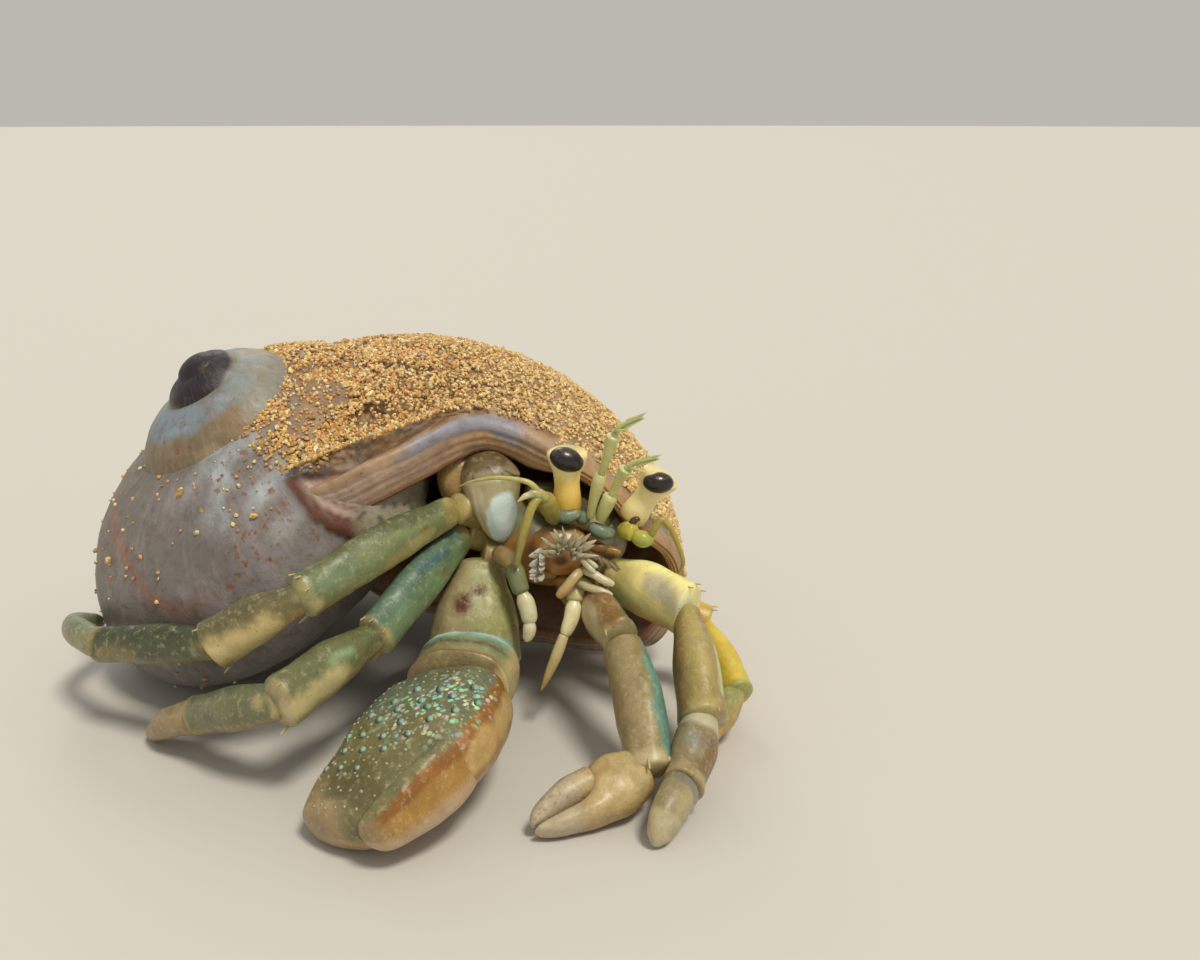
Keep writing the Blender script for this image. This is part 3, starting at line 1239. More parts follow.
@dataclass
class MajorClaw:
    """The large right cheliped, with a broad pimpled hand.

    Args:
        root: where it leaves the body; base, knee, wrist and tip are its joints beyond.
        length: the hand's length in millimetres.
        top: the way the hand's upper side faces.
    """

    root: Point = on_body(0.9, -1.6, -1.2)
    base: Point = (-5.92, -3.6, 7.67)
    knee: Point = (-6.3, -5.5, 3.15)
    wrist: Point = (-6.65, -9.5, 3.35)
    tip: Point = (-10.2, -18.4, 1.3)
    length: float = 9.9
    top: Point = (-0.25, 0.15, 1)

    def hand_paint(self, place: Place) -> Tone:
        """Return the colour of a place on the hand."""
        drift = 0.35 * grain(place.point, 1.1, 2.0)
        rim = step(0.62 - place.u, 0.0, 0.05)
        edge = -place.side + 0.15 * drift
        tip = place.u + 0.1 * drift
        return washed(
            "656c56",
            ("6c6844", step(place.u + drift, 0.3, 0.75)),
            ("5c7166", step(place.across + drift, -0.5, 2.0) * step(0.6 - place.u, 0.0, 0.3) * 0.8),
            ("94876a", step(place.across + drift, 2.3, 3.2) * 0.8),
            ("8a5a20", step(edge, 0.78, 0.86) * rim),
            ("b5945c", step(edge, 0.93, 0.98) * rim),
            ("55502f", step(tip, 0.68, 0.8) * step(0.95 - place.u, 0.0, 0.05) * step(-place.across, -1.8, -0.6) * 0.8),
            ("9c8560", step(tip, 0.9, 0.97) * step(place.across, -0.6, 0.6)),
            ("9c8560", step(place.u + 0.1 * place.across + 0.1 * drift, 0.97, 1.1)),
            ("a38a66", step(-place.top, 0.1, 0.6)),
        )

    @property
    def path(self) -> list[Point]:
        """Return the hand's line."""
        start = (self.wrist[0] + 1.3, self.wrist[1] - 0.7, self.wrist[2] + 0.9)
        return [self.wrist, between(start, self.tip), self.tip]

    @staticmethod
    def pimples() -> list[Bump]:
        """Return the hand's pimples: the large dark ones in rows, and the many small pale ones."""
        rows = (
            (0.33, (-2.5, -1.2, 0.2)), (0.4, (-3.0, -1.9, -0.6, 0.9)), (0.465, (-2.4, -1.2, 0.3, 1.7)),
            (0.53, (-1.7, -0.4, 1.0)), (0.6, (-1.1, 0.2, 1.5, 2.4)), (0.68, (-0.4, 0.7, 1.9)), (0.77, (0.3, 1.3, 2.3)),
        )
        found = []
        for u, line in rows:
            found += [Bump(u + 0.014 * math.sin(7 * x + 30 * u), x, 0.27 - 0.12 * u, 0.17 - 0.08 * u) for x in line]
        for k in range(150):
            across, radius = -3.2 + 6.2 * ((k * 0.4142) % 1), 0.07 + 0.04 * ((k * 0.73) % 1)
            found.append(Bump(0.14 + 0.82 * ((k * 0.618) % 1), across, radius, 0.04))
        return found

    def dome(self, palm: Loft, spine: Spine, bump: Bump) -> Loft:
        """Return one pimple as a low dome on the hand, dark on its lower left and pale on its upper right."""
        z = 1 - 2 * bump.u
        flat = math.sqrt(max(0.0, 1 - z * z))
        turns = [math.radians(15 + 3 * k) for k in range(51)]
        spots = [palm.pose(spine, Vector((flat * math.cos(a), flat * math.sin(a), z))) for a in turns]
        best = min(spots, key=lambda place: abs(place.across - bump.across))
        _, across, upward = spine.axes(bump.u)
        out = (across * best.side + upward * max(best.top, 0.2)).normalized()
        large = bump.radius > 0.12
        dark, pale = (tone("2b434a"), tone("8fae9e")) if large else (tone("8a8460"), tone("b5ab80"))
        shine = Vector((0.75, -0.2, 0.65))
        start, end = best.point - out * bump.radius * 0.6, best.point + out * bump.height
        return Loft(
            [tuple(start), tuple(end)], even([(0, 2 * bump.radius), (1, 1.7 * bump.radius)]),
            top=tuple(across), sides=12 if large else 7, rings=8 if large else 5, ends=(0.5, 0.5), square=2.0,
            rough=0.0,
            paint=lambda place: mix(dark, pale, step((place.point - best.point).dot(shine) / bump.radius, -0.2, 0.8)),
        )

    def pearl(self, place: Place) -> float:
        """Return how pearly a place of the hand is."""
        far = math.hypot((place.u - 0.42) * self.length, (place.across + 1.2) * 0.8)
        return step(2.7 - far + 0.6 * grain(place.point, 0.6), 0.0, 1.6) * step(place.top, 0.2, 0.6)

    def build(self) -> None:
        """Build the limb."""
        claw_part("major_coxa", coxa(self.root, self.base, 1.05, (1.7, 2.3, 2.3)))
        merus = Loft(
            limb_path(self.base, self.knee, (0, -0.25, 0), 1.04),
            limb_rows(2.5, 3.9, 4.6, 1.0), top=(0, -1, 0.35), sides=64, rings=80, ends=(0.08, 0.05), square=2.4,
            rough=0.07, paint=self.merus_paint,
        )
        claw_part("major_merus", merus)
        carpus = Loft(
            limb_path(self.knee, self.wrist, (0.1, 0, 0), 1.05, -0.1),
            limb_rows(3.3, 4.0, 3.8, 1.25), sides=80, rings=80, ends=(0.12, 0.06), square=2.4, rough=0.06,
            paint=self.carpus_paint,
            bumps=[Bump(0.55 + 0.08 * math.sin(3 * k), -1.9 + 0.42 * k, 0.16, 0.07) for k in range(10)],
        )
        claw_part("major_carpus", carpus)
        self.hand()

    def hand(self) -> None:
        """Build the hand with its fixed finger, and the moving finger."""
        spans = (
            (0.0, -1.3, 1.5, 1.0, 1.0), (0.06, -2.2, 2.5, 1.5, 1.6), (0.15, -2.9, 3.1, 1.7, 1.85),
            (0.3, -3.35, 3.45, 1.8, 2.05), (0.5, -3.6, 3.6, 1.75, 2.05), (0.57, -3.6, 3.5, 1.7, 1.95),
            (0.63, -3.6, 2.7, 1.65, 1.85), (0.72, -3.55, 2.2, 1.6, 1.7), (0.85, -3.35, 1.6, 1.45, 1.5),
            (0.95, -3.0, 1.1, 1.15, 1.15), (1.0, -2.5, 0.6, 0.8, 0.7),
        )
        rows = [(u, high, -low, under, top) for u, low, high, under, top in spans]
        palm = Loft(
            self.path, rows, top=self.top, sides=112, rings=190, ends=(0.1, 0.05), square=2.7, rough=0.05,
            paint=self.hand_paint, pearl=self.pearl,
        )
        spine = Spine(self.path, self.top)
        domes = [self.dome(palm, spine, bump) for bump in self.pimples() if bump.u < 0.6 or bump.across > -1.6]
        claw_part("major_palm", palm, extras=domes)
        spans = (
            (0.0, 2.3, 3.2, 0.8, 0.9), (0.12, 2.15, 3.42, 1.2, 1.45), (0.3, 1.95, 3.25, 1.35, 1.5),
            (0.6, 1.5, 2.85, 1.25, 1.3), (0.86, 1.05, 2.3, 1.0, 1.0), (1.0, 0.7, 1.7, 0.7, 0.6),
        )
        rows = [(u, high, -low, under, top) for u, low, high, under, top in spans]
        finger = Loft(
            [tuple(spine.at(u)) for u in (0.52, 0.68, 0.84, 0.99)], rows, top=self.top, sides=64, rings=96,
            ends=(0.1, 0.07), square=2.6, rough=0.05, paint=self.finger_paint,
            bumps=[Bump(0.1 + 0.09 * k, -3.1 + 0.6 * ((k * 0.618) % 1), 0.14, 0.07) for k in range(9)],
        )
        claw_part("major_finger", finger)

    def finger_paint(self, place: Place) -> Tone:
        """Return the colour of a place on the moving finger."""
        drift = 0.35 * grain(place.point, 1.1, 2.0)
        side = -place.side + 0.3 * drift
        return washed(
            "77724a",
            ("6a6848", step(drift, -0.1, 0.1)),
            ("8a5a20", step(side, 0.5, 0.7)),
            ("a07838", step(side, 0.86, 0.95)),
            ("9c8560", step(place.u, 0.85, 1.0)),
            ("b59a7c", step(-place.top, 0.1, 0.6)),
        )

    def merus_paint(self, place: Place) -> Tone:
        """Return the colour of a place on the merus."""
        drift = 0.3 * grain(place.point, 1.0, 5.0)
        cream, olive = tone("a0936c"), tone("9a9a68")
        fine = 0.3 * grain(place.point, 0.3, 1.0)
        colour = washed(
            mix(olive, cream, step(place.side + drift + fine, -0.05, 0.4)),
            ("8c8a66", step(fine + drift, 0.1, 0.3) * 0.6),
            ("858a66", step(place.u + 0.3 * drift, 0.6, 0.8) * 0.8),
            ("8a6a4a", hump(place.u + 0.05 * drift, 0.66, 0.03) * 0.4),
        )
        for patch in MAJOR_SPOTS:
            colour = patch.tint(colour, place.point)
        return washed(colour, ("93b8a8", step(place.u, 0.9, 0.93) * step(place.top, -0.5, 0.0)))

    def carpus_paint(self, place: Place) -> Tone:
        """Return the colour of a place on the carpus."""
        drift = 0.12 * grain(place.point, 1.2, 6.0)
        u = place.u + 0.5 * drift - 0.27
        return washed(
            "7fb0a8",
            ("7d8a6a", step(u, 0.24, 0.34)),
            ("bfe0d6", hump(u, 0.2, 0.04) * 0.8),
            ("5f4a38", hump(u, 0.4, 0.035) * 0.8),
            ("968a60", step(u, 0.46, 0.56)),
            ("6f5440", hump(u, 0.68, 0.03) * 0.7),
            ("827f58", step(u, 0.74, 0.84)),
            ("b9a878", step(-place.side, 0.72, 0.92) * step(place.top, -0.9, -0.2)),
            ("a08b66", step(-place.top, 0.25, 0.7)),
        )


MAJOR_SPOTS = (
    Patch((-6.61, -6.39, 6.5), 0.7, "4c2002", 1.0),
    Patch((-6.66, -6.4, 6.0), 0.55, "542806", 1.0),
    Patch((-5.82, -6.0, 7.0), 0.55, "4c2806", 1.0),
)


@dataclass
class MinorClaw:
    """The slim left cheliped."""

    root: Point = on_body(1.9, 1.0, -1.1)
    base: Point = (-0.75, -4.5, 5.75)
    knee: Point = (1.02, -9.1, 5.6)
    wrist: Point = (2.13, -13.9, 1.7)
    tip: Point = (-2.87, -16.55, 0.7)

    def build(self) -> None:
        """Build the limb."""
        claw_part("minor_coxa", coxa(self.root, self.base, 1.05, (1.3, 1.7, 1.7)))
        merus = Loft(
            limb_path(self.base, self.knee, (0, 0, 0.2), 1.03),
            limb_rows(1.7, 2.25, 2.1), sides=48, rings=60, crest=0.12, rough=0.05,
            paint=self.merus_paint,
        )
        claw_part("minor_merus", merus, ((0.93, 60, 0.5), (0.95, 120, 0.4)))
        carpus = Loft(
            [
                between(self.base, self.knee, 0.96), between(self.knee, self.wrist, 0.5, (0.15, 0, 0.2)),
                between(self.knee, self.wrist, 1.04),
            ],
            limb_rows(2.05, 2.3, 2.2, 0.95), top=(0.5, -0.8, 0.6), sides=64, rings=80, ends=(0.06, 0.05), crest=0.1,
            rough=0.06, paint=self.carpus_paint,
        )
        claw_part("minor_carpus", carpus, ((0.94, -20, 0.5), (0.95, 30, 0.45), (0.93, 70, 0.4)))
        self.hand()

    def merus_paint(self, place: Place) -> Tone:
        """Return the colour of a place on the merus."""
        drift = 0.2 * grain(place.point, 0.8, 6.0)
        right = place.point.x + 0.75 - 1.77 * place.u + drift
        return washed(
            "c4b48c",
            ("86653c", step(right, -0.7, -0.4)),
            ("4a7264", step(right, 0.3, 0.5)),
            ("8a5a2c", step(drift - 0.02, 0.0, 0.05) * step(place.u, 0.6, 0.8) * step(-place.side, 0.0, 0.3) * 0.7),
            ("857a54", step(place.u + 0.3 * drift, 0.9, 0.97)),
            ("8a7040", step(-place.top, 0.2, 0.6)),
        )

    def carpus_paint(self, place: Place) -> Tone:
        """Return the colour of a place on the carpus."""
        drift = 0.25 * grain(place.point, 0.8, 9.0)
        colour = washed(
            "978762",
            ("a0935c", step(-place.side + drift, -0.35, 0.05) * step(place.u + 0.3 * drift, 0.3, 0.6)),
        )
        right = place.point.x - 1.02 - 1.11 * place.u + drift
        return washed(
            colour,
            ("857440", step(right, 0.05, 0.35) * step(0.97 - place.u, 0.0, 0.1) * 0.8),
            ("628c82", step(right, 0.55, 0.85) * step(0.97 - place.u, 0.0, 0.1)),
            ("c4b48e", step(place.u + 0.2 * drift, 0.84, 0.92) * step(place.side, -0.5, 0.0)),
            ("94825c", step(-place.top, 0.2, 0.7)),
        )

    def hand_paint(self, place: Place) -> Tone:
        """Return the colour of a place on the hand."""
        drift = 0.2 * grain(place.point, 0.7, 3.0)
        return washed(
            "9c8252",
            ("b5a072", step(place.top + drift, 0.0, 0.8)),
            ("9c7038", step(drift, 0.05, 0.1) * 0.45),
            ("b3a48c", step(place.u + 0.2 * drift, 0.55, 0.75)),
        )

    def finger_paint(self, place: Place) -> Tone:
        """Return the colour of a place on the moving finger."""
        fleck = step(grain(place.point, 0.16, 1.0), 0.25, 0.5)
        return mix(mix(tone("b09a70"), tone("b3a48f"), step(place.u, 0.1, 0.5)), tone("6f655a"), 0.6 * fleck)

    def hand(self) -> None:
        """Build the hand with its fixed finger, and the moving finger."""
        top = (0.0, -0.5, 0.87)
        path = [between(self.knee, self.wrist, 0.98), between((2.13, -14.0, 1.8), self.tip), self.tip]
        rows = (
            (0.0, 0.6, 0.6, 0.5, 0.5), (0.08, 1.05, 1.05, 0.85, 0.85), (0.3, 1.4, 1.35, 1.05, 1.1),
            (0.42, 1.35, 1.2, 0.98, 1.0), (0.5, 1.3, 0.2, 0.9, 0.9), (0.6, 1.2, -0.08, 0.8, 0.82),
            (0.8, 0.95, -0.15, 0.62, 0.65), (0.94, 0.65, -0.2, 0.45, 0.45), (1.0, 0.45, -0.25, 0.3, 0.3),
        )
        palm = Loft(path, rows, top=top, sides=64, rings=110, ends=(0.08, 0.04), rough=0.05, paint=self.hand_paint)
        claw_part("minor_palm", palm)
        spine = Spine(path, top)
        rows = (
            (0.0, -0.3, 1.0, 0.55, 0.6), (0.12, 0.05, 1.25, 0.85, 0.95), (0.4, 0.1, 1.2, 0.85, 0.95),
            (0.75, 0.12, 0.85, 0.6, 0.68), (0.93, 0.15, 0.5, 0.4, 0.42), (1.0, 0.1, 0.2, 0.2, 0.2),
        )
        finger = Loft(
            [tuple(spine.at(u)) for u in (0.4, 0.6, 0.8, 1.0)], rows, top=top, sides=48, rings=70, ends=(0.1, 0.04),
            rough=0.04, paint=self.finger_paint,
        )
        claw_part("minor_finger", finger)


# ------------------------------------------------------------------ head and body


@dataclass
class Eye:
    """A stalked eye: a cup-ended stalk round a dark oval cornea.

    Args:
        side: right or left.
        base: where the stalk starts.
        cornea: the cornea's middle.
        wide: the cornea's long direction.
        stalk: painter of the stalk.
        size: the cornea's size as a share of the usual.
    """

    side: str
    base: Point
    cornea: Point
    wide: Point
    stalk: Painter
    size: float = 1.0

    def build(self) -> None:
        """Build the stalk and the cornea."""
        middle, base = Vector(self.cornea), Vector(self.base)
        up = (middle - base).normalized()
        end = middle + up * 0.62 + Vector((0, 0.3, 0))
        path = [tuple(base), tuple(base.lerp(end, 0.5)), tuple(end)]
        rows = even([
            (0, 1.3, 1.25), (0.15, 1.42, 1.35), (0.42, 1.24, 1.15), (0.6, 1.34, 1.2),
            (0.74, 1.72, 1.4), (0.86, 1.98, 1.52), (0.93, 1.92, 1.5), (1, 1.5, 1.3),
        ])
        loft = Loft(path, rows, top=(0, 1, 0), sides=48, rings=64, ends=(0.05, 0.13), square=2.0, paint=self.stalk)
        formed(f"eyestalk_{self.side}", STALK, [loft])
        wide = Vector(self.wide).normalized()
        heart = middle + Vector((0, -0.2, 0.03))
        path = [tuple(heart - wide * 0.84 * self.size), tuple(heart + wide * 0.84 * self.size)]
        rows = even([(0, 1.16 * self.size, 1.2 * self.size), (1, 1.16 * self.size, 1.2 * self.size)])
        loft = Loft(
            path, rows, top=(0, -0.9, 0.4), sides=48, rings=48, ends=(0.5, 0.5), square=2.0, rough=0.0,
            paint=self.cornea_paint, pearl=self.gilt,
        )
        formed(f"cornea_{self.side}", CorneaFinish(), [loft])

    def cornea_paint(self, place: Place) -> Tone:
        """Return the cornea's colour, darkest in the middle."""
        return mix(tone("1b1016"), tone("3a2a2c"), step(place.point.z - self.cornea[2], 0.25, 0.6))

    def gilt(self, place: Place) -> float:
        """Return how golden a place of the cornea is."""
        return step(place.point.z - self.cornea[2], 0.1, 0.5) * 0.9


@dataclass
class Feeler:
    """A jointed feeler or mouth limb made of several stretches.

    Args:
        name: the solid's name, and the piece's.
        parts: for each stretch, its points, rows, near colour, far colour and ring count, if ringed.
        extras: further forms in the same piece.
        slot: the record's material slot.
    """

    name: str
    parts: Sequence[tuple]
    extras: Sequence[Loft] = ()
    slot: Slot = Slot.FEELER

    def build(self) -> None:
        """Build the feeler."""
        formed(self.name, FEELER, [*(self.stretch(*part) for part in self.parts), *self.extras])

    @staticmethod
    def stretch(path: Sequence[Point], rows: Rows, near: str, far: str, rings: int = 0) -> Loft:
        """Return one stretch, ringed where rings is above nought."""
        first, last = tone(near), tone(far)
        return Loft(
            path, even(rows), top=(0.05, -0.9, 0.4), sides=18, rings=max(40, 3 * rings), ends=(0.06, 0.04),
            square=2.0, rough=0.012,
            paint=lambda place: mix(first, last, place.u + 0.2 * grain(place.point, 0.5)),
            shift=(lambda u, side, lift: 1 + 0.07 * math.sin(math.tau * u * rings)) if rings else None,
        )


def leaf(root: Point, tip: Point, width: float, near: str, far: str, bend: Point = (0.0, -0.1, 0.0)) -> Loft:
    """Return a thin leaf-shaped blade from its root to its tip."""
    first, last = tone(near), tone(far)
    return Loft(
        [root, between(root, tip, 0.5, bend), tip],
        even([
            (0, 0.3 * width, 0.09), (0.3, 0.7 * width, 0.08), (0.6, width, 0.07), (0.85, 0.65 * width, 0.05),
            (1, 0.12 * width, 0.03),
        ]),
        top=(0, -1, 0.1), sides=10, rings=14, ends=(0.1, 0.06), square=2.0, rough=0.0,
        paint=lambda place: mix(first, last, place.u),
    )


@dataclass
class Mouth:
    """The mouth: its dark middle, leaf-like fans, tufts and forked white palps."""

    middle: Point = (-1.64, -5.5, 8.53)

    def mass_paint(self, place: Place) -> Tone:
        """Return the colour of a place on the mouth's middle."""
        point = place.point
        colour = washed(
            "b9854a",
            ("cfa46a", step(grain(point, 0.6), -0.1, 0.5)),
            ("58603f", step(point.z, 9.3, 9.9)),
        )
        far = math.hypot(point.x + 1.9, (point.z - 8.3) * 1.5)
        return washed(colour, ("5a3a1c", step(0.55 - far, 0.0, 0.35)))

    def fans(self) -> list[Loft]:
        """Return the fans of blades above and beside the mouth."""
        blades = []
        x, _, z = self.middle
        for k in range(44):
            angle = math.radians(178 - 4.4 * k + 9 * math.sin(5.1 * k))
            c, s = math.cos(angle), math.sin(angle)
            reach = (0.8 if k % 2 else 1.3) + 0.3 * math.sin(2.3 * k)
            root = (x + 0.22 * c, -5.7 - 0.12 * (k % 2), z + 0.2 + 0.2 * s)
            tip = (x + 0.1 + reach * c, -6.1 - 0.14 * (k % 3), z + 0.25 + reach * s)
            far = "b9b294" if k % 3 else "d6d0b8"
            blades.append(
                leaf(root, tip, 0.24 + 0.06 * math.sin(3.7 * k), "6a5836", far, (0.05 * math.sin(k), -0.2, 0.0))
            )
        for k in range(22):
            lower = (k * 0.618) % 1
            root = (-2.6 - 0.25 * lower, -5.7, 9.0 - 1.5 * lower)
            tip = (
                -3.15 - 0.3 * math.sin(2.1 * k), -6.25 - 0.1 * (k % 3),
                8.95 - 1.55 * lower + 0.15 * math.sin(3.3 * k),
            )
            blades.append(leaf(root, tip, 0.28 + 0.06 * (k % 3), "8c7d5c", "cfcab8" if k % 2 else "e2dfd2"))
        for k in range(14):
            root = (-0.9 + 0.11 * k, -5.5, 9.0 - 0.06 * k)
            tip = (-0.65 + 0.13 * k, -6.0, 8.75 - 0.07 * k + 0.1 * math.sin(4 * k))
            blades.append(leaf(root, tip, 0.22, "4f3a24", "8f7c58"))
        return blades

    def palps(self) -> list[Loft]:
        """Return the forked pale palps under the mouth."""
        fingers = [
            (
                [(-0.7, -5.8, 8.0), (-1.2, -6.35, 7.75), (-1.6, -6.6, 7.3), (-2.05, -6.75, 6.85)], 0.5, "c4b88c",
                "b5955c",
            ),
            (
                [(-1.0, -5.9, 7.95), (-0.35, -6.35, 7.9), (0.15, -6.5, 7.65), (0.68, -6.55, 7.4)], 0.42, "bfb490",
                "d9d3b8",
            ),
            (
                [(-1.15, -6.0, 7.35), (-0.5, -6.35, 7.2), (0.0, -6.55, 7.1), (0.6, -6.65, 6.85)], 0.42, "b8ab84",
                "d6cfb2",
            ),
            ([(-1.05, -5.8, 8.75), (-0.75, -6.2, 8.45), (-0.25, -6.5, 8.0)], 0.32, "a89c78", "cfc8ac"),
            ([(-0.85, -5.9, 8.5), (-0.5, -6.3, 8.5), (-0.1, -6.45, 8.25)], 0.24, "a89c78", "c9c1a4"),
        ]
        sizes = ((0, 0.6, 0.6), (0.3, 0.95, 0.8), (0.8, 1.0, 0.85), (1, 0.6, 0.5))
        return [
            Feeler.stretch(path, [(u, wide * width, high * width) for u, wide, high in sizes], near, far)
            for path, width, near, far in fingers
        ]

    def build(self) -> None:
        """Build the mouth."""
        mass = Loft(
            [(-1.85, -4.5, 9.75), (-1.9, -4.8, 8.5), (-1.8, -4.7, 7.2)],
            even([(0, 1.6, 1.0), (0.3, 2.7, 1.7), (0.65, 2.3, 1.6), (1, 1.0, 0.8)]),
            top=(0, -1, 0), sides=48, rings=60, ends=(0.15, 0.15), rough=0.16, paint=self.mass_paint,
        )
        lumps = (
            (-0.1, 8.75, 0.55, "85602f"), (0.55, 8.6, 0.5, "9c7440"), (-0.3, 9.25, 0.45, "7d6540"),
            (-2.6, 7.4, 0.5, "a37c44"), (-1.7, 7.0, 0.6, "9c7434"),
        )
        rounds = [
            Loft(
                [(x - size, -4.9, z), (x + size, -5.0, z - 0.1)], even([(0, size), (1, size)]),
                sides=24, rings=20, ends=(0.5, 0.5), rough=0.08, paint=plain(code),
            )
            for x, z, size, code in lumps
        ]
        formed("mouthparts", FEELER, [mass, *rounds, *self.fans(), *self.palps()])


SEAM = ((8.3, -5.15), (9.3, -5.6), (10.4, -5.95), (11.6, -6.15))
SMALL_PLATES = (
    ([(-2.25, -4.9, 10.5), (-1.6, -5.1, 10.38), (-0.9, -4.95, 10.55)], 0.72),
    ([(-0.55, -4.85, 9.9), (0.1, -5.0, 9.55), (0.75, -4.7, 9.42)], 0.7),
    ([(-1.1, -4.6, 10.4), (-0.5, -4.75, 10.0)], 0.8),
)


@dataclass
class Carapace:
    """The head's plates: shield, both side lobes and the small plates between the eyes."""

    def lobe_paint(self, place: Place) -> Tone:
        """Return the colour of a place on the right lobe."""
        point = place.point
        fade = step(point.z + 0.25 * grain(point, 0.8), 11.9, 12.7)
        colour = washed(
            "aba27f",
            ("523d1a", fade * 0.9),
            ("7d6e4e", step(-6.5 - point.x, 0.0, 0.5) * 0.8),
            ("b3a48c", step(0.8 - math.hypot(point.x + 5.9, point.z - 10.9), 0.0, 0.7) * 0.6),
        )
        blue = math.hypot((point.x + 4.74) / 0.78, (point.z - 10.05) / 1.5) + 0.12 * grain(point, 0.5)
        colour = washed(colour, ("d3e6e8", step(1.05 - blue, 0.0, 0.2)))
        seam = abs(point.x - reading(SEAM, point.z)[0] - 0.05 * grain(point, 0.6))
        colour = washed(colour, ("d2c69c", step(0.13 - seam, 0.0, 0.08) * step(11.8 - point.z, 0.0, 0.4)))
        outer = math.hypot((point.x + 5.4) / 1.3, (point.z - 11.75) / 0.85)
        arch = min(abs(outer - 1), abs(math.hypot((point.x + 5.4) / 0.75, (point.z - 12.1) / 0.5) - 1))
        return washed(colour, ("453a22", step(0.06 - arch, 0.0, 0.04) * step(point.z, 11.75, 12.0) * 0.7))

    def lobe_groove(self, u: float, side: float, lift: float) -> float:
        """Return the swell of the right lobe's section, with its suture grooves."""
        return 1 - 0.05 * hump(u, 0.3, 0.02) - 0.04 * hump(side, 0.25, 0.12) * step(u, 0.3, 0.4)

    def build(self) -> None:
        """Build the plates."""
        lobe = Loft(
            [(-5.3, -2.6, 12.95), (-5.42, -3.1, 11.8), (-5.15, -3.5, 10.2), (-4.9, -3.6, 8.45)],
            even([
                (0, 1.8, 1.6), (0.12, 2.6, 2.4), (0.28, 2.95, 3.0), (0.5, 2.55, 3.0), (0.75, 1.8, 2.3),
                (1, 0.7, 1.0),
            ]),
            top=(0, -1, 0.1), sides=64, rings=90, ends=(0.2, 0.12), rough=0.06,
            paint=self.lobe_paint, shift=self.lobe_groove,
        )
        shoulder = Loft(
            [(-6.75, -2.3, 12.9), (-7.15, -2.6, 11.6), (-6.9, -2.9, 10.2)], even([(0, 1.5), (0.5, 2.0), (1, 1.3)]),
            top=(0, -1, 0.1), sides=36, rings=36, ends=(0.25, 0.25), rough=0.1,
            paint=Bands("a3834f", "b08f58", "8a6c3c"),
        )
        formed("carapace_right", PLATE, [lobe, shoulder])
        lobe = Loft(
            [(0.2, -2.0, 9.5), (0.35, -2.5, 8.3), (0.2, -2.5, 6.9)], even([(0, 1.4), (0.5, 2.0), (1, 1.2)]),
            top=(0, -1, 0.1), sides=40, rings=40, ends=(0.25, 0.25), rough=0.06, paint=plain("8f8a74"),
        )
        formed("carapace_left", PLATE, [lobe])
        shield = Loft(
            [on_body(-1.9, 0.6, 2.1), on_body(0.5, 0.6, 2.45), on_body(2.9, 0.6, 2.1)],
            even([(0, 3.6, 1.3), (0.5, 5.0, 1.9), (1, 3.4, 1.3)]),
            top=tuple(UP), sides=56, rings=50, ends=(0.35, 0.25), rough=0.08, paint=Bands("4c4c34", "5f5c40", "6b5f40"),
        )
        formed("shield", PLATE, [shield])
        paint = Bands("6f806a", "56644c", "4b5540", "6b7358", "75805f")
        plates = [
            Loft(
                path, even([(0, 0.7 * width), (0.5, width), (1, 0.6 * width)]),
                top=(0, -1, 0.2), sides=24, rings=30, ends=(0.2, 0.2), rough=0.04, paint=paint,
            )
            for path, width in SMALL_PLATES
        ]
        formed("ocular_plates", PLATE, plates, [])


SKIN_VOXEL_M = 0.00016


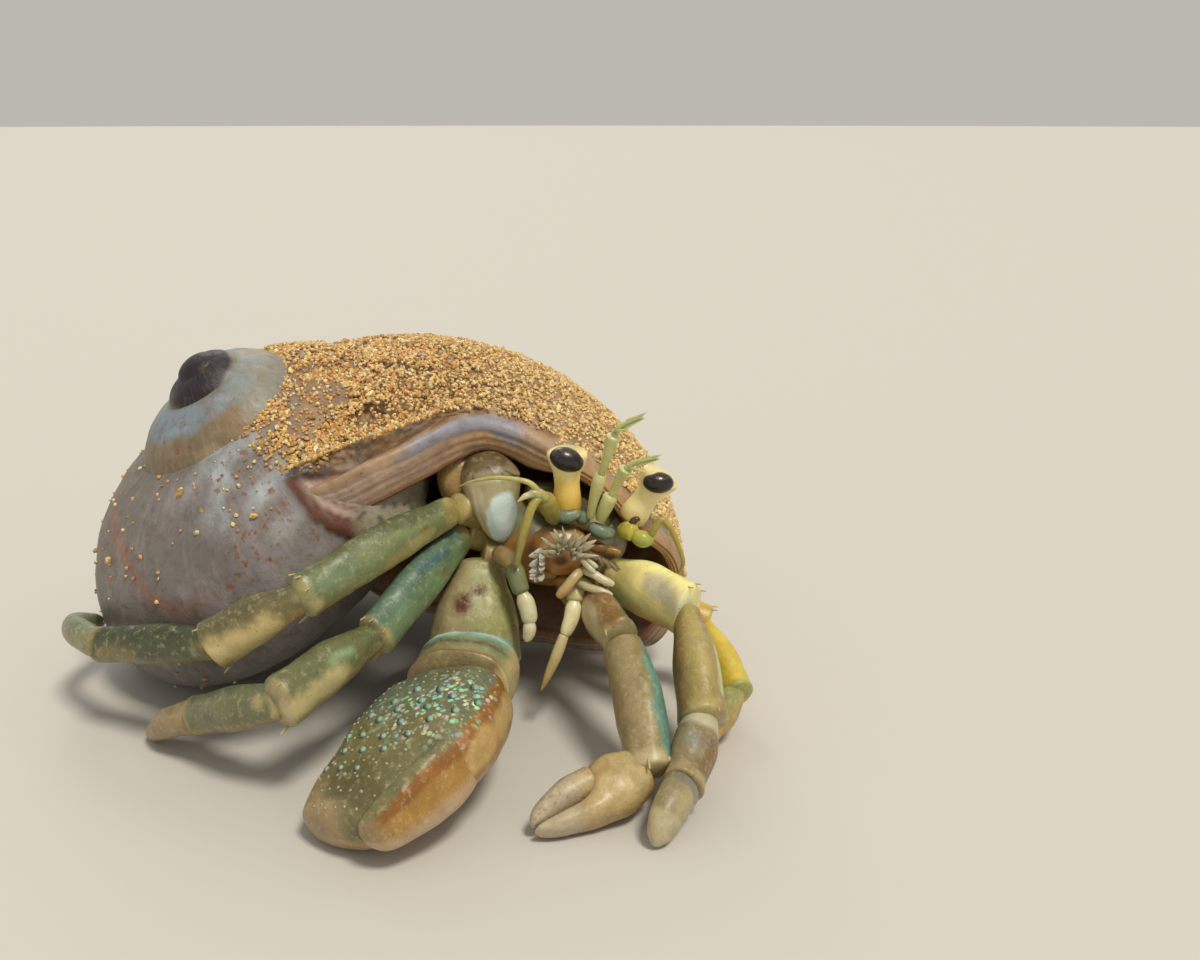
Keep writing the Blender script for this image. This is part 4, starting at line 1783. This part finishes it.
@dataclass
class Body:
    """The soft body in the shell: one skin over thorax and pleon, the hind legs and the tail."""

    shell: Shell

    def skin_lofts(self) -> list[Loft]:
        """Return the forms that the skin covers."""
        thorax = Loft(
            [on_body(-2.5, 0, 0), on_body(0, 0, 0), on_body(2.5, 0, 0)],
            even([(0, 5.2, 3.6), (0.5, 6.2, 4.4), (1, 4.6, 3.6)]),
            top=tuple(UP), sides=40, rings=40, ends=(0.5, 0.5), rough=0.0,
        )
        line = [tuple(self.shell.spot(turn, 0.2, 7.0)) for turn in (0.15, 0.6, 1.1, 1.7)]
        rows = even([(0, 2.4), (0.15, 4.9, 4.5), (0.6, 4.5, 4.1), (1, 1.9, 1.7)])
        pleon = Loft(line, rows, sides=40, rings=50, ends=(0.2, 0.2), rough=0.0)
        return [thorax, pleon]

    def skin(self) -> None:
        """Build the skin by remeshing the forms into one closed surface."""
        mesh = bmesh.new()
        for loft in self.skin_lofts():
            spine = Spine(loft.path, loft.top)
            ball = bmesh.ops.create_uvsphere(mesh, u_segments=loft.sides, v_segments=loft.rings, radius=1)
            for vert in ball["verts"]:
                vert.co = loft.pose(spine, vert.co).point
        bmesh.ops.transform(mesh, matrix=STANCE, verts=mesh.verts[:])
        data = bpy.data.meshes.new("body_skin_forms")
        mesh.to_mesh(data)
        mesh.free()
        forms = bpy.data.objects.new("body_skin_forms", data)
        bpy.context.scene.collection.objects.link(forms)
        merge = forms.modifiers.new("one_skin", "REMESH")
        merge.mode = "VOXEL"
        merge.voxel_size = SKIN_VOXEL_M
        even_out = forms.modifiers.new("even_out", "SMOOTH")
        even_out.factor = 0.5
        even_out.iterations = 8
        graph = bpy.context.evaluated_depsgraph_get()
        skin = bpy.data.meshes.new_from_object(forms.evaluated_get(graph))
        bpy.data.objects.remove(forms)
        bpy.data.meshes.remove(data)
        skin.name = "body_skin"
        back = STANCE.inverted()
        colours = []
        for vert in skin.vertices:
            point = back @ vert.co
            colour = washed(
                "94693a",
                ("a87c42", step(grain(point, 1.4), -0.3, 0.4)),
                ("b07a38", step(-point.y, 2.0, 4.0) * 0.6),
                ("77795a", step(point.z + 0.4 * grain(point, 0.9), 8.6, 9.6) * step(-point.y, 2.2, 3.2)),
            )
            colours += [*colour, 1.0]
        layer = skin.attributes.new("paint", "FLOAT_COLOR", "POINT")
        layer.data.foreach_set("color", colours)
        dressed(skin, "body_skin", SKIN, ["thorax", "pleon"])

    def hind_parts(self) -> None:
        """Build the fourth legs and the tail fan."""
        for name, start, end in (
            ("fourthRight", (-5.6, -0.6, 9.2), (-6.3, 1.8, 11.6)),
            ("fourthLeft", (-0.6, -0.2, 6.9), (1.2, 1.6, 6.6)),
        ):
            path = [start, between(start, end, 0.5, (0, 0.1, 0)), end]
            paint = Bands("8d8a70", "b8a783", "b9a67c")
            leg = Loft(path, limb_rows(1.0, 1.2, 0.9), sides=28, rings=40, paint=paint)
            formed(name, LEG, [leg])
        line = [self.shell.spot(turn, 0.2, 7.0) for turn in (1.72, 1.86, 2.0)]
        rows = even([(0, 0.7, 0.5), (0.5, 1.0, 0.5), (1, 0.6, 0.3)])
        fan = []
        for spread in (-1.0, 0.0, 1.0):
            path = [tuple(point + Vector((0.25, 0.1, 0.35)) * spread * k) for k, point in enumerate(line)]
            fan.append(Loft(path, rows, sides=20, rings=24, ends=(0.2, 0.2), paint=plain("c2ad85")))
        formed("tail_fan", LEG, fan)

    def build(self) -> None:
        """Build the body."""
        self.skin()
        self.hind_parts()


# ------------------------------------------------------------------ the parts of this crab


def walking_legs() -> list[WalkingLeg]:
    """Return the four walking legs."""
    blank: Rows = ()
    knee_frill = ((0.96, 165, 0.6), (0.965, -15, 0.3), (0.965, 15, 0.28), (0.965, -55, 0.26))
    ankle_frill = ((0.965, 180, 0.55), (0.965, -25, 0.22))
    return [
        WalkingLeg(
            "secondRight",
            [
                on_body(-0.3, -2, -0.6), (-6.7, -3.1, 8.9), (-10.28, -9.42, 6), (-13.59, -14.04, 5),
                (-18.52, -10.42, 2.5), (-21.8, -8.05, 0.2),
            ],
            1.05, (0, -0.3, 0.3),
            [
                Bands("54705f", "66805f", "8f8258", "a39460", "a69a6e", 0.6, -0.5, 0.1, 0.95, (
                    Patch((-7.2, -5.6, 8.9), 0.42, "2f5661", 0.85, (-8.9, -8.0, 8.5)),
                    Patch((-7.5, -6.2, 8.0), 0.3, "7c4f1f", 0.8),
                    Patch((-7.3, -5.2, 8.2), 0.25, "7c4f1f", 0.6),
                    Patch((-9.9, -9.9, 6.2), 0.6, "bfae7c", 0.7),
                )),
                Bands("5f633f", "646a45", "a5935f", "8c9166", "ab9c70", 0.75, -0.2, 0.05, 0.965, (
                    Patch((-11.3, -12.5, 5.5), 0.85, "cbbc8a", 0.9, (-13.1, -14.5, 4.9)),
                    Patch((-11.0, -11.6, 6.3), 0.35, "8fae86", 0.6, (-11.6, -12.7, 6.4)),
                    Patch((-13.6, -14.6, 4.35), 0.4, "2f3b48", 0.8),
                )),
                Bands("5d634a", "6c6f4e", "8a7a54", "a39a68", "948158", 0.8, -0.4, patches=(
                    Patch((-14.6, -13.9, 5.0), 0.45, "b5a878", 0.6),
                )),
                Bands("857550", "9c8560", "8f7a56", "948a60", "a5885f", 0.7),
            ],
            spurs=(knee_frill, ankle_frill, blank, blank),
        ),
        WalkingLeg(
            "thirdRight",
            [
                on_body(-0.8, -2.6, 0.4), (-7, -4.2, 10.5), (-13.14, -10.75, 8.53), (-17.31, -10.6, 6.09),
                (-24.02, -7.4, 4.66), (-27, 0.2, 2.6),
            ],
            1.0, (-0.9, -0.9, 0.6),
            [
                Bands("5a6240", "747f58", "a8985f", "a3935c", "a8a070", 0.7, -0.4, 0.12, 0.955, (
                    Patch((-7.7, -5.8, 11.1), 0.4, "46431f", 0.85, (-9.3, -7.6, 10.8)),
                    Patch((-8.3, -6.6, 10.2), 0.26, "80491a", 0.85),
                    Patch((-8.0, -6.3, 9.9), 0.5, "b0a066", 0.6, (-9.6, -8.3, 9.1)),
                    Patch((-11.0, -9.7, 9.6), 0.7, "6a8065", 0.6, (-12.3, -11.0, 9.3)),
                    Patch((-12.3, -11.2, 8.3), 0.55, "bfb07c", 0.75),
                )),
                Bands("5f5a3c", "706743", "9c865a", "7f8660", "b09c6c", 0.55, -0.3, 0.05, 0.97, (
                    Patch((-14.6, -11.4, 7.2), 1.0, "cdb880", 0.9, (-16.8, -11.4, 6.2)),
                    Patch((-13.3, -11.3, 8.6), 0.35, "9caa80", 0.6),
                    Patch((-12.9, -11.3, 7.9), 0.3, "94803a", 0.8),
                )),
                Bands("3a4129", "454b31", "66643f", "857c4e", "8a7d4e", 0.6, -0.4, 0.08, 0.92, (
                    Patch((-21.6, -9.1, 5.0), 0.75, "84784c", 0.8, (-23.3, -8.3, 4.6)),
                    Patch((-18.2, -10.8, 5.9), 0.4, "8f9470", 0.6),
                )),
                Bands("6f7a62", "858663", "948a60", "8c8a64", "9c8c5c", 0.6),
            ],
            spurs=(knee_frill, ankle_frill, blank, blank),
        ),
        WalkingLeg(
            "secondLeft",
            [
                on_body(1.2, 1.9, -0.3), (0.35, -3.9, 6.85), (4.21, -7.0, 6.25), (4.62, -11.73, 2.9),
                (3.53, -15.02, 1.6), (2.23, -17.3, 0.2),
            ],
            1.26, (-0.1, -0.3, 0.3),
            [
                Bands("f2ec9a", "eedd90", "e0b050", "b0a064", "e6dc9c", 0.9, -0.35, 0.08, 0.95, (
                    Patch((2.6, -6.6, 7.5), 0.85, "b3ad98", 0.9, (3.9, -7.5, 6.6)),
                    Patch((4.0, -7.6, 6.9), 0.6, "eef0c0", 0.8),
                    Patch((1.0, -4.6, 7.9), 0.3, "dfe474", 0.8, (4.1, -7.1, 7.2)),
                )),
                Bands("a29258", "8f784a", "866c3a", "b0a470", "b0a070", 0.8, -0.6, 0.05, 0.95, (
                    Patch((5.4, -9.2, 5.7), 0.35, "b7c78c", 0.8, (5.5, -11.4, 4.3)),
                    Patch((4.4, -9.6, 5.9), 0.5, "b8a878", 0.5, (4.7, -11.4, 4.6)),
                )),
                Bands("857858", "745c38", "6c5432", "b0a888", "9c8a64", 0.7, -0.5, 0.3, 0.86, (
                    Patch((4.4, -12.7, 3.7), 0.8, "bdb9a0", 0.75),
                    Patch((4.0, -13.9, 3.1), 0.7, "7e8480", 0.8),
                )),
                Bands("948868", "a39470", "978560", "7a776a", "b8ac8c", 0.7, -0.4, 0.25, 0.6),
            ],
            Slot.CREAM,
            spurs=(knee_frill, ankle_frill, blank, blank),
        ),
        WalkingLeg(
            "thirdLeft",
            [
                on_body(0.3, 2.2, -0.9), (0.62, -2.6, 5.64), (5.35, -3.2, 3.84), (6.66, -6.91, 1.7),
                (4.8, -10.02, 1.35), (3.25, -13.79, 0.2),
            ],
            0.95, (0.2, 0.2, 0.3),
            [
                Bands("c4a43c", "cfa238", "d49a2c", "b8862c", "bfa858", ridge_from=0.7),
                Bands("d2b840", "d6ac38", "d09c2c", "b4a44c", "a0a058", ridge_from=0.6),
                Bands("8c9058", "a08c46", "b0812c", "98905c", "bf842c", ridge_from=0.6, far_from=0.85),
                Bands("988a50", "a58c48", "a07c3c", "a88a44", "b59c6c", ridge_from=0.7),
            ],
            Slot.CREAM,
            spurs=(knee_frill, blank, blank, blank),
        ),
    ]


def stalk_right(place: Place) -> Tone:
    """Return the colour of a place on the right eyestalk, warm at its base and pale at its cup."""
    return washed(
        "cba23c",
        ("f2d070", step(place.u, 0.1, 0.45)),
        ("faeaa4", step(place.u + 0.08 * grain(place.point, 0.5), 0.45, 0.7)),
        ("6e6a44", step(place.u, 0.9, 1.0) * 0.5),
    )


def stalk_left(place: Place) -> Tone:
    """Return the colour of a place on the left eyestalk, cream all along."""
    return washed("dfc57c", ("fae8a8", step(place.u, 0.0, 0.3)), ("e0d298", step(place.u, 0.75, 0.95)))


def eyes() -> list[Eye]:
    """Return both eyes."""
    return [
        Eye("right", (-1.61, -4.5, 10.35), (-1.58, -4.9, 13.2), (0.9, 0.1, -0.36), stalk_right, 1.0),
        Eye("left", (1.48, -3.8, 9.75), (2.82, -4.3, 11.87), (0.95, 0.1, -0.1), stalk_left, 0.9),
    ]


def brush(root: Point, tip: Point, count: int, spread: float) -> list[Loft]:
    """Return a fan of fine hairs from a root towards a tip."""
    hairs = []
    way = Vector(tip) - Vector(root)
    for k in range(count):
        share = k / max(1, count - 1)
        start = Vector(root) + way * 0.75 * share
        lean = Vector((0.25, -0.15, 1.0 if k % 2 else -0.75)) * spread * (0.75 + 0.25 * math.sin(3.1 * k))
        end = start + way * 0.3 + lean * (1 - 0.5 * share)
        hairs.append(Loft(
            [tuple(start), tuple(end)], even([(0, 0.07), (1, 0.025)]), top=(0, -1, 0.1), sides=5, rings=5,
            rough=0.0, paint=plain("c9cf8c"),
        ))
    return hairs


def antennules() -> list[Feeler]:
    """Return both antennules, each with two joints, a ringed end and its brush."""
    slim = [(0.0, 0.42), (0.3, 0.46), (0.85, 0.66), (1.0, 0.5)]
    long = [(0.0, 0.36), (0.3, 0.42), (0.8, 0.58), (0.95, 0.66), (1.0, 0.5)]
    whip = [(0.0, 0.36), (0.4, 0.24), (1.0, 0.07)]
    pale, green, bright = "d3d39a", "b5b674", "c6c984"
    right = Feeler(
        "antennule_right",
        [
            ([(-0.5, -4.95, 10.2), (-0.3, -5.1, 11.2), (0.05, -5.35, 12.65)], slim, green, pale),
            ([(0.04, -5.35, 12.5), (0.35, -5.7, 13.6), (0.65, -6.0, 14.7)], long, bright, pale),
            (
                [(0.63, -6.0, 14.6), (0.95, -6.2, 15.15), (1.45, -6.4, 15.45), (2.0, -6.6, 15.7)], whip, bright,
                "c3cb7c", 16,
            ),
            ([(0.62, -6.0, 14.6), (0.8, -6.25, 14.95), (1.3, -6.5, 15.05)], [(0, 0.2), (1, 0.06)], bright, "c3cb7c", 9),
        ],
        brush((0.85, -6.15, 15.05), (2.05, -6.6, 15.72), 26, 0.42),
    )
    left = Feeler(
        "antennule_left",
        [
            (
                [(-0.02, -4.9, 10.1), (0.25, -5.05, 10.8), (0.55, -5.2, 11.54)],
                [(0, 0.5), (0.5, 0.72, 0.7), (0.85, 0.75, 0.72), (1, 0.5)], green, pale,
            ),
            ([(0.53, -5.2, 11.4), (0.85, -5.4, 12.2), (1.25, -5.7, 13.0)], long, bright, pale),
            (
                [(1.22, -5.7, 12.9), (1.6, -5.9, 13.3), (2.1, -6.1, 13.5), (2.75, -6.3, 13.65)], whip, bright,
                "c3cb7c", 14,
            ),
            (
                [(1.22, -5.7, 12.95), (1.6, -6.05, 13.05), (2.1, -6.25, 12.95)], [(0, 0.2), (1, 0.06)], bright,
                "c3cb7c", 9,
            ),
        ],
        brush((1.45, -5.85, 13.2), (2.8, -6.3, 13.68), 22, 0.36),
    )
    return [right, left]


def antennae() -> list[Feeler]:
    """Return the antennae with their knobbed bases."""
    knob = [(0.0, 0.5), (0.3, 0.85), (0.8, 0.95, 0.9), (1.0, 0.55)]
    thin = [(0.0, 0.42), (0.4, 0.44), (1.0, 0.3)]
    return [
        Feeler(
            "antenna_base_right",
            [
                ([(-2.15, -4.9, 10.0), (-2.4, -5.5, 10.9), (-2.65, -6.05, 11.75)], knob, "7d7c44", "a89c4c"),
                (
                    [(-2.5, -5.9, 11.45), (-2.9, -6.3, 11.9), (-3.35, -6.6, 12.0)],
                    [(0, 0.6), (0.6, 0.55), (1, 0.25)], "aaa35c", "bdb680",
                ),
                (
                    [(-2.9, -6.3, 11.85), (-3.4, -6.7, 11.95), (-3.85, -6.9, 11.7)],
                    [(0, 0.34), (0.6, 0.3), (1, 0.06)], "b5b07c", "cbc69c",
                ),
            ],
        ),
        Feeler(
            "antenna_right",
            [
                (
                    [
                        (-2.8, -6.3, 11.8), (-3.18, -6.6, 11.35), (-3.45, -6.85, 10.6), (-3.75, -6.9, 9.5),
                        (-3.98, -6.8, 8.5),
                    ],
                    thin, "aaa052", "9c9452", 26,
                ),
                (
                    [
                        (-2.85, -6.35, 12.0), (-3.3, -6.5, 12.5), (-4.1, -6.45, 12.68), (-5.06, -6.2, 12.65),
                        (-6.13, -5.9, 12.36), (-6.7, -5.65, 12.05),
                    ],
                    [(0, 0.3), (0.3, 0.24), (0.8, 0.14), (1, 0.06)], "bfb878", "b5ad70", 34,
                ),
            ],
        ),
        Feeler(
            "antenna_base_left",
            [
                ([(1.05, -4.3, 9.3), (1.35, -4.8, 9.55), (1.75, -5.05, 9.5)], knob, "a09a44", "c9bc4c"),
                (
                    [(1.6, -4.9, 9.4), (2.1, -5.1, 9.2), (2.6, -5.0, 9.15)], [(0, 0.6), (0.5, 0.85, 0.8), (1, 0.4)],
                    "b8b454", "98a455",
                ),
                (
                    [(1.5, -4.8, 9.8), (1.7, -4.95, 10.15), (1.95, -5.0, 10.2)], [(0, 0.4), (0.6, 0.36), (1, 0.15)],
                    "6d5a3c", "3b2f26",
                ),
            ],
        ),
        Feeler(
            "antenna_left",
            [
                (
                    [
                        (2.45, -5.0, 9.35), (2.75, -5.1, 9.9), (3.05, -5.1, 10.2), (3.5, -5.05, 9.6),
                        (3.9, -4.9, 8.6), (4.1, -4.7, 7.8), (3.85, -4.5, 7.05),
                    ],
                    [(0, 0.42), (0.35, 0.32), (0.8, 0.2), (1, 0.07)], "a89c50", "b09c54", 34,
                ),
            ],
        ),
    ]


def maxillipeds() -> list[Feeler]:
    """Return both outer mouth limbs."""
    block = [(0.0, 0.6, 0.55), (0.3, 0.92, 0.8), (0.85, 0.85, 0.8), (1.0, 0.6, 0.55)]
    slim = [(0.0, 0.45), (0.35, 0.66, 0.62), (0.8, 0.5), (1.0, 0.2)]
    return [
        Feeler(
            "maxilliped_right",
            [
                ([(-5.1, -4.8, 8.4), (-4.55, -5.5, 8.45), (-4.0, -6.1, 8.15)], block, "96794a", "a89564"),
                ([(-4.08, -6.05, 8.3), (-4.0, -6.4, 7.8), (-3.72, -6.65, 7.0)], block, "7d805a", "7a815c"),
                (
                    [(-3.75, -6.62, 7.1), (-3.45, -6.85, 6.3), (-3.35, -7.0, 5.6)],
                    [(0, 0.5), (0.35, 0.85, 0.75), (0.8, 0.8, 0.7), (1, 0.55, 0.5)], "cdc8a4", "dcdabd",
                ),
                ([(-3.36, -6.98, 5.75), (-3.4, -7.15, 5.2), (-3.55, -7.2, 4.75)], slim, "d4d0b0", "cfc8a4"),
            ],
            slot=Slot.CREAM,
        ),
        Feeler(
            "maxilliped_left",
            [
                ([(-1.2, -5.4, 7.1), (-1.18, -5.8, 6.7), (-1.22, -6.1, 6.3)], block, "b5a470", "cdc294"),
                (
                    [(-1.22, -6.05, 6.45), (-1.4, -6.45, 5.6), (-1.72, -6.75, 4.85)],
                    [(0, 0.5), (0.25, 0.82, 0.74), (0.8, 0.66, 0.6), (1, 0.46)], "efe7bc", "e2d8ac",
                ),
                (
                    [(-1.7, -6.7, 4.95), (-2.2, -7.05, 3.7), (-2.86, -7.3, 2.2)],
                    [(0, 0.5), (0.3, 0.56, 0.52), (0.75, 0.36, 0.34), (1, 0.1)], "cfc294", "b89a64",
                ),
            ],
            slot=Slot.CREAM,
        ),
    ]


# ------------------------------------------------------------------ the stage

FLOOR_RADIUS_M = 3.0
SENSOR_MM, LENS_MM = 36, 36
CLIP_START_M = 0.002


@dataclass(frozen=True)
class Studio:
    """Pale floor, soft lights and the camera.

    Args:
        eye: the camera's place in stance millimetres.
        pitch: how far it looks down, in radians.
    """

    eye: Point = (0.0, -60.0, 29.0)
    pitch: float = math.radians(17)

    def camera(self) -> None:
        """Set up the camera."""
        data = bpy.data.cameras.new("camera")
        data.sensor_width, data.lens = SENSOR_MM, LENS_MM
        data.clip_start = CLIP_START_M
        camera = bpy.data.objects.new("camera", data)
        bpy.context.scene.collection.objects.link(camera)
        turn = Matrix.Rotation(Stance().facing, 4, "Z") @ Matrix.Rotation(math.pi / 2 - self.pitch, 4, "X")
        camera.matrix_world = Matrix.Translation(STANCE @ Vector(self.eye)) @ turn
        bpy.context.scene.camera = camera

    def floor(self) -> None:
        """Lay a large pale floor."""
        mesh = bmesh.new()
        bmesh.ops.create_circle(mesh, cap_ends=True, segments=64, radius=FLOOR_RADIUS_M)
        data = bpy.data.meshes.new("floor")
        mesh.to_mesh(data)
        mesh.free()
        floor = bpy.data.objects.new("floor", data)
        bpy.context.scene.collection.objects.link(floor)
        nodes = Nodes("pale_floor")
        nodes.shade(Base_Color=(0.6, 0.58, 0.55), Roughness=0.9)
        data.materials.append(nodes.material)

    def sun(self, name: str, place: Point, width: float, power: float, colour: Tone) -> None:
        """Hang one soft, even light that shines from a place towards the origin.

        Args:
            name: the light's name.
            place: the side it shines from, in stance axes.
            width: how wide it looks from the floor, in degrees.
            power: its strength.
            colour: its colour.
        """
        data = bpy.data.lights.new(name, "SUN")
        data.angle = math.radians(width)
        data.energy = power
        data.color = colour
        lamp = bpy.data.objects.new(name, data)
        bpy.context.scene.collection.objects.link(lamp)
        way = STANCE.to_3x3() @ -Vector(place)
        lamp.matrix_world = way.to_track_quat("-Z", "Y").to_matrix().to_4x4()

    def sky(self) -> None:
        """Fill the surroundings with pale light."""
        world = bpy.data.worlds.new("surroundings")
        bpy.context.scene.world = world
        world.use_nodes = True
        back = world.node_tree.nodes["Background"]
        back.inputs["Color"].default_value = (1.0, 0.96, 0.87, 1.0)
        back.inputs["Strength"].default_value = 0.5
        bpy.context.scene.view_settings.view_transform = "Standard"

    def build(self) -> None:
        """Set the whole stage."""
        self.camera()
        self.floor()
        self.sky()
        self.sun("key", (35.0, -45.0, 100.0), 14.0, 2.2, (1.0, 0.94, 0.8))
        self.sun("back", (-30.0, 90.0, 70.0), 25.0, 0.5, (1.0, 0.97, 0.88))


# ------------------------------------------------------------------ everything together


def main() -> None:
    """Build the crab, its shell and the stage, in order."""
    logging.basicConfig(level=logging.INFO, format="%(message)s")
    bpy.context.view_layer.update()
    Studio().build()
    shell = Shell()
    shell.build()
    SandCoat(shell).build()
    for part in (
        *walking_legs(), MajorClaw(), MinorClaw(), *eyes(), *antennules(), *antennae(), *maxillipeds(),
        Mouth(), Carapace(), Body(shell),
    ):
        part.build()


if __name__ == "__main__":
    main()
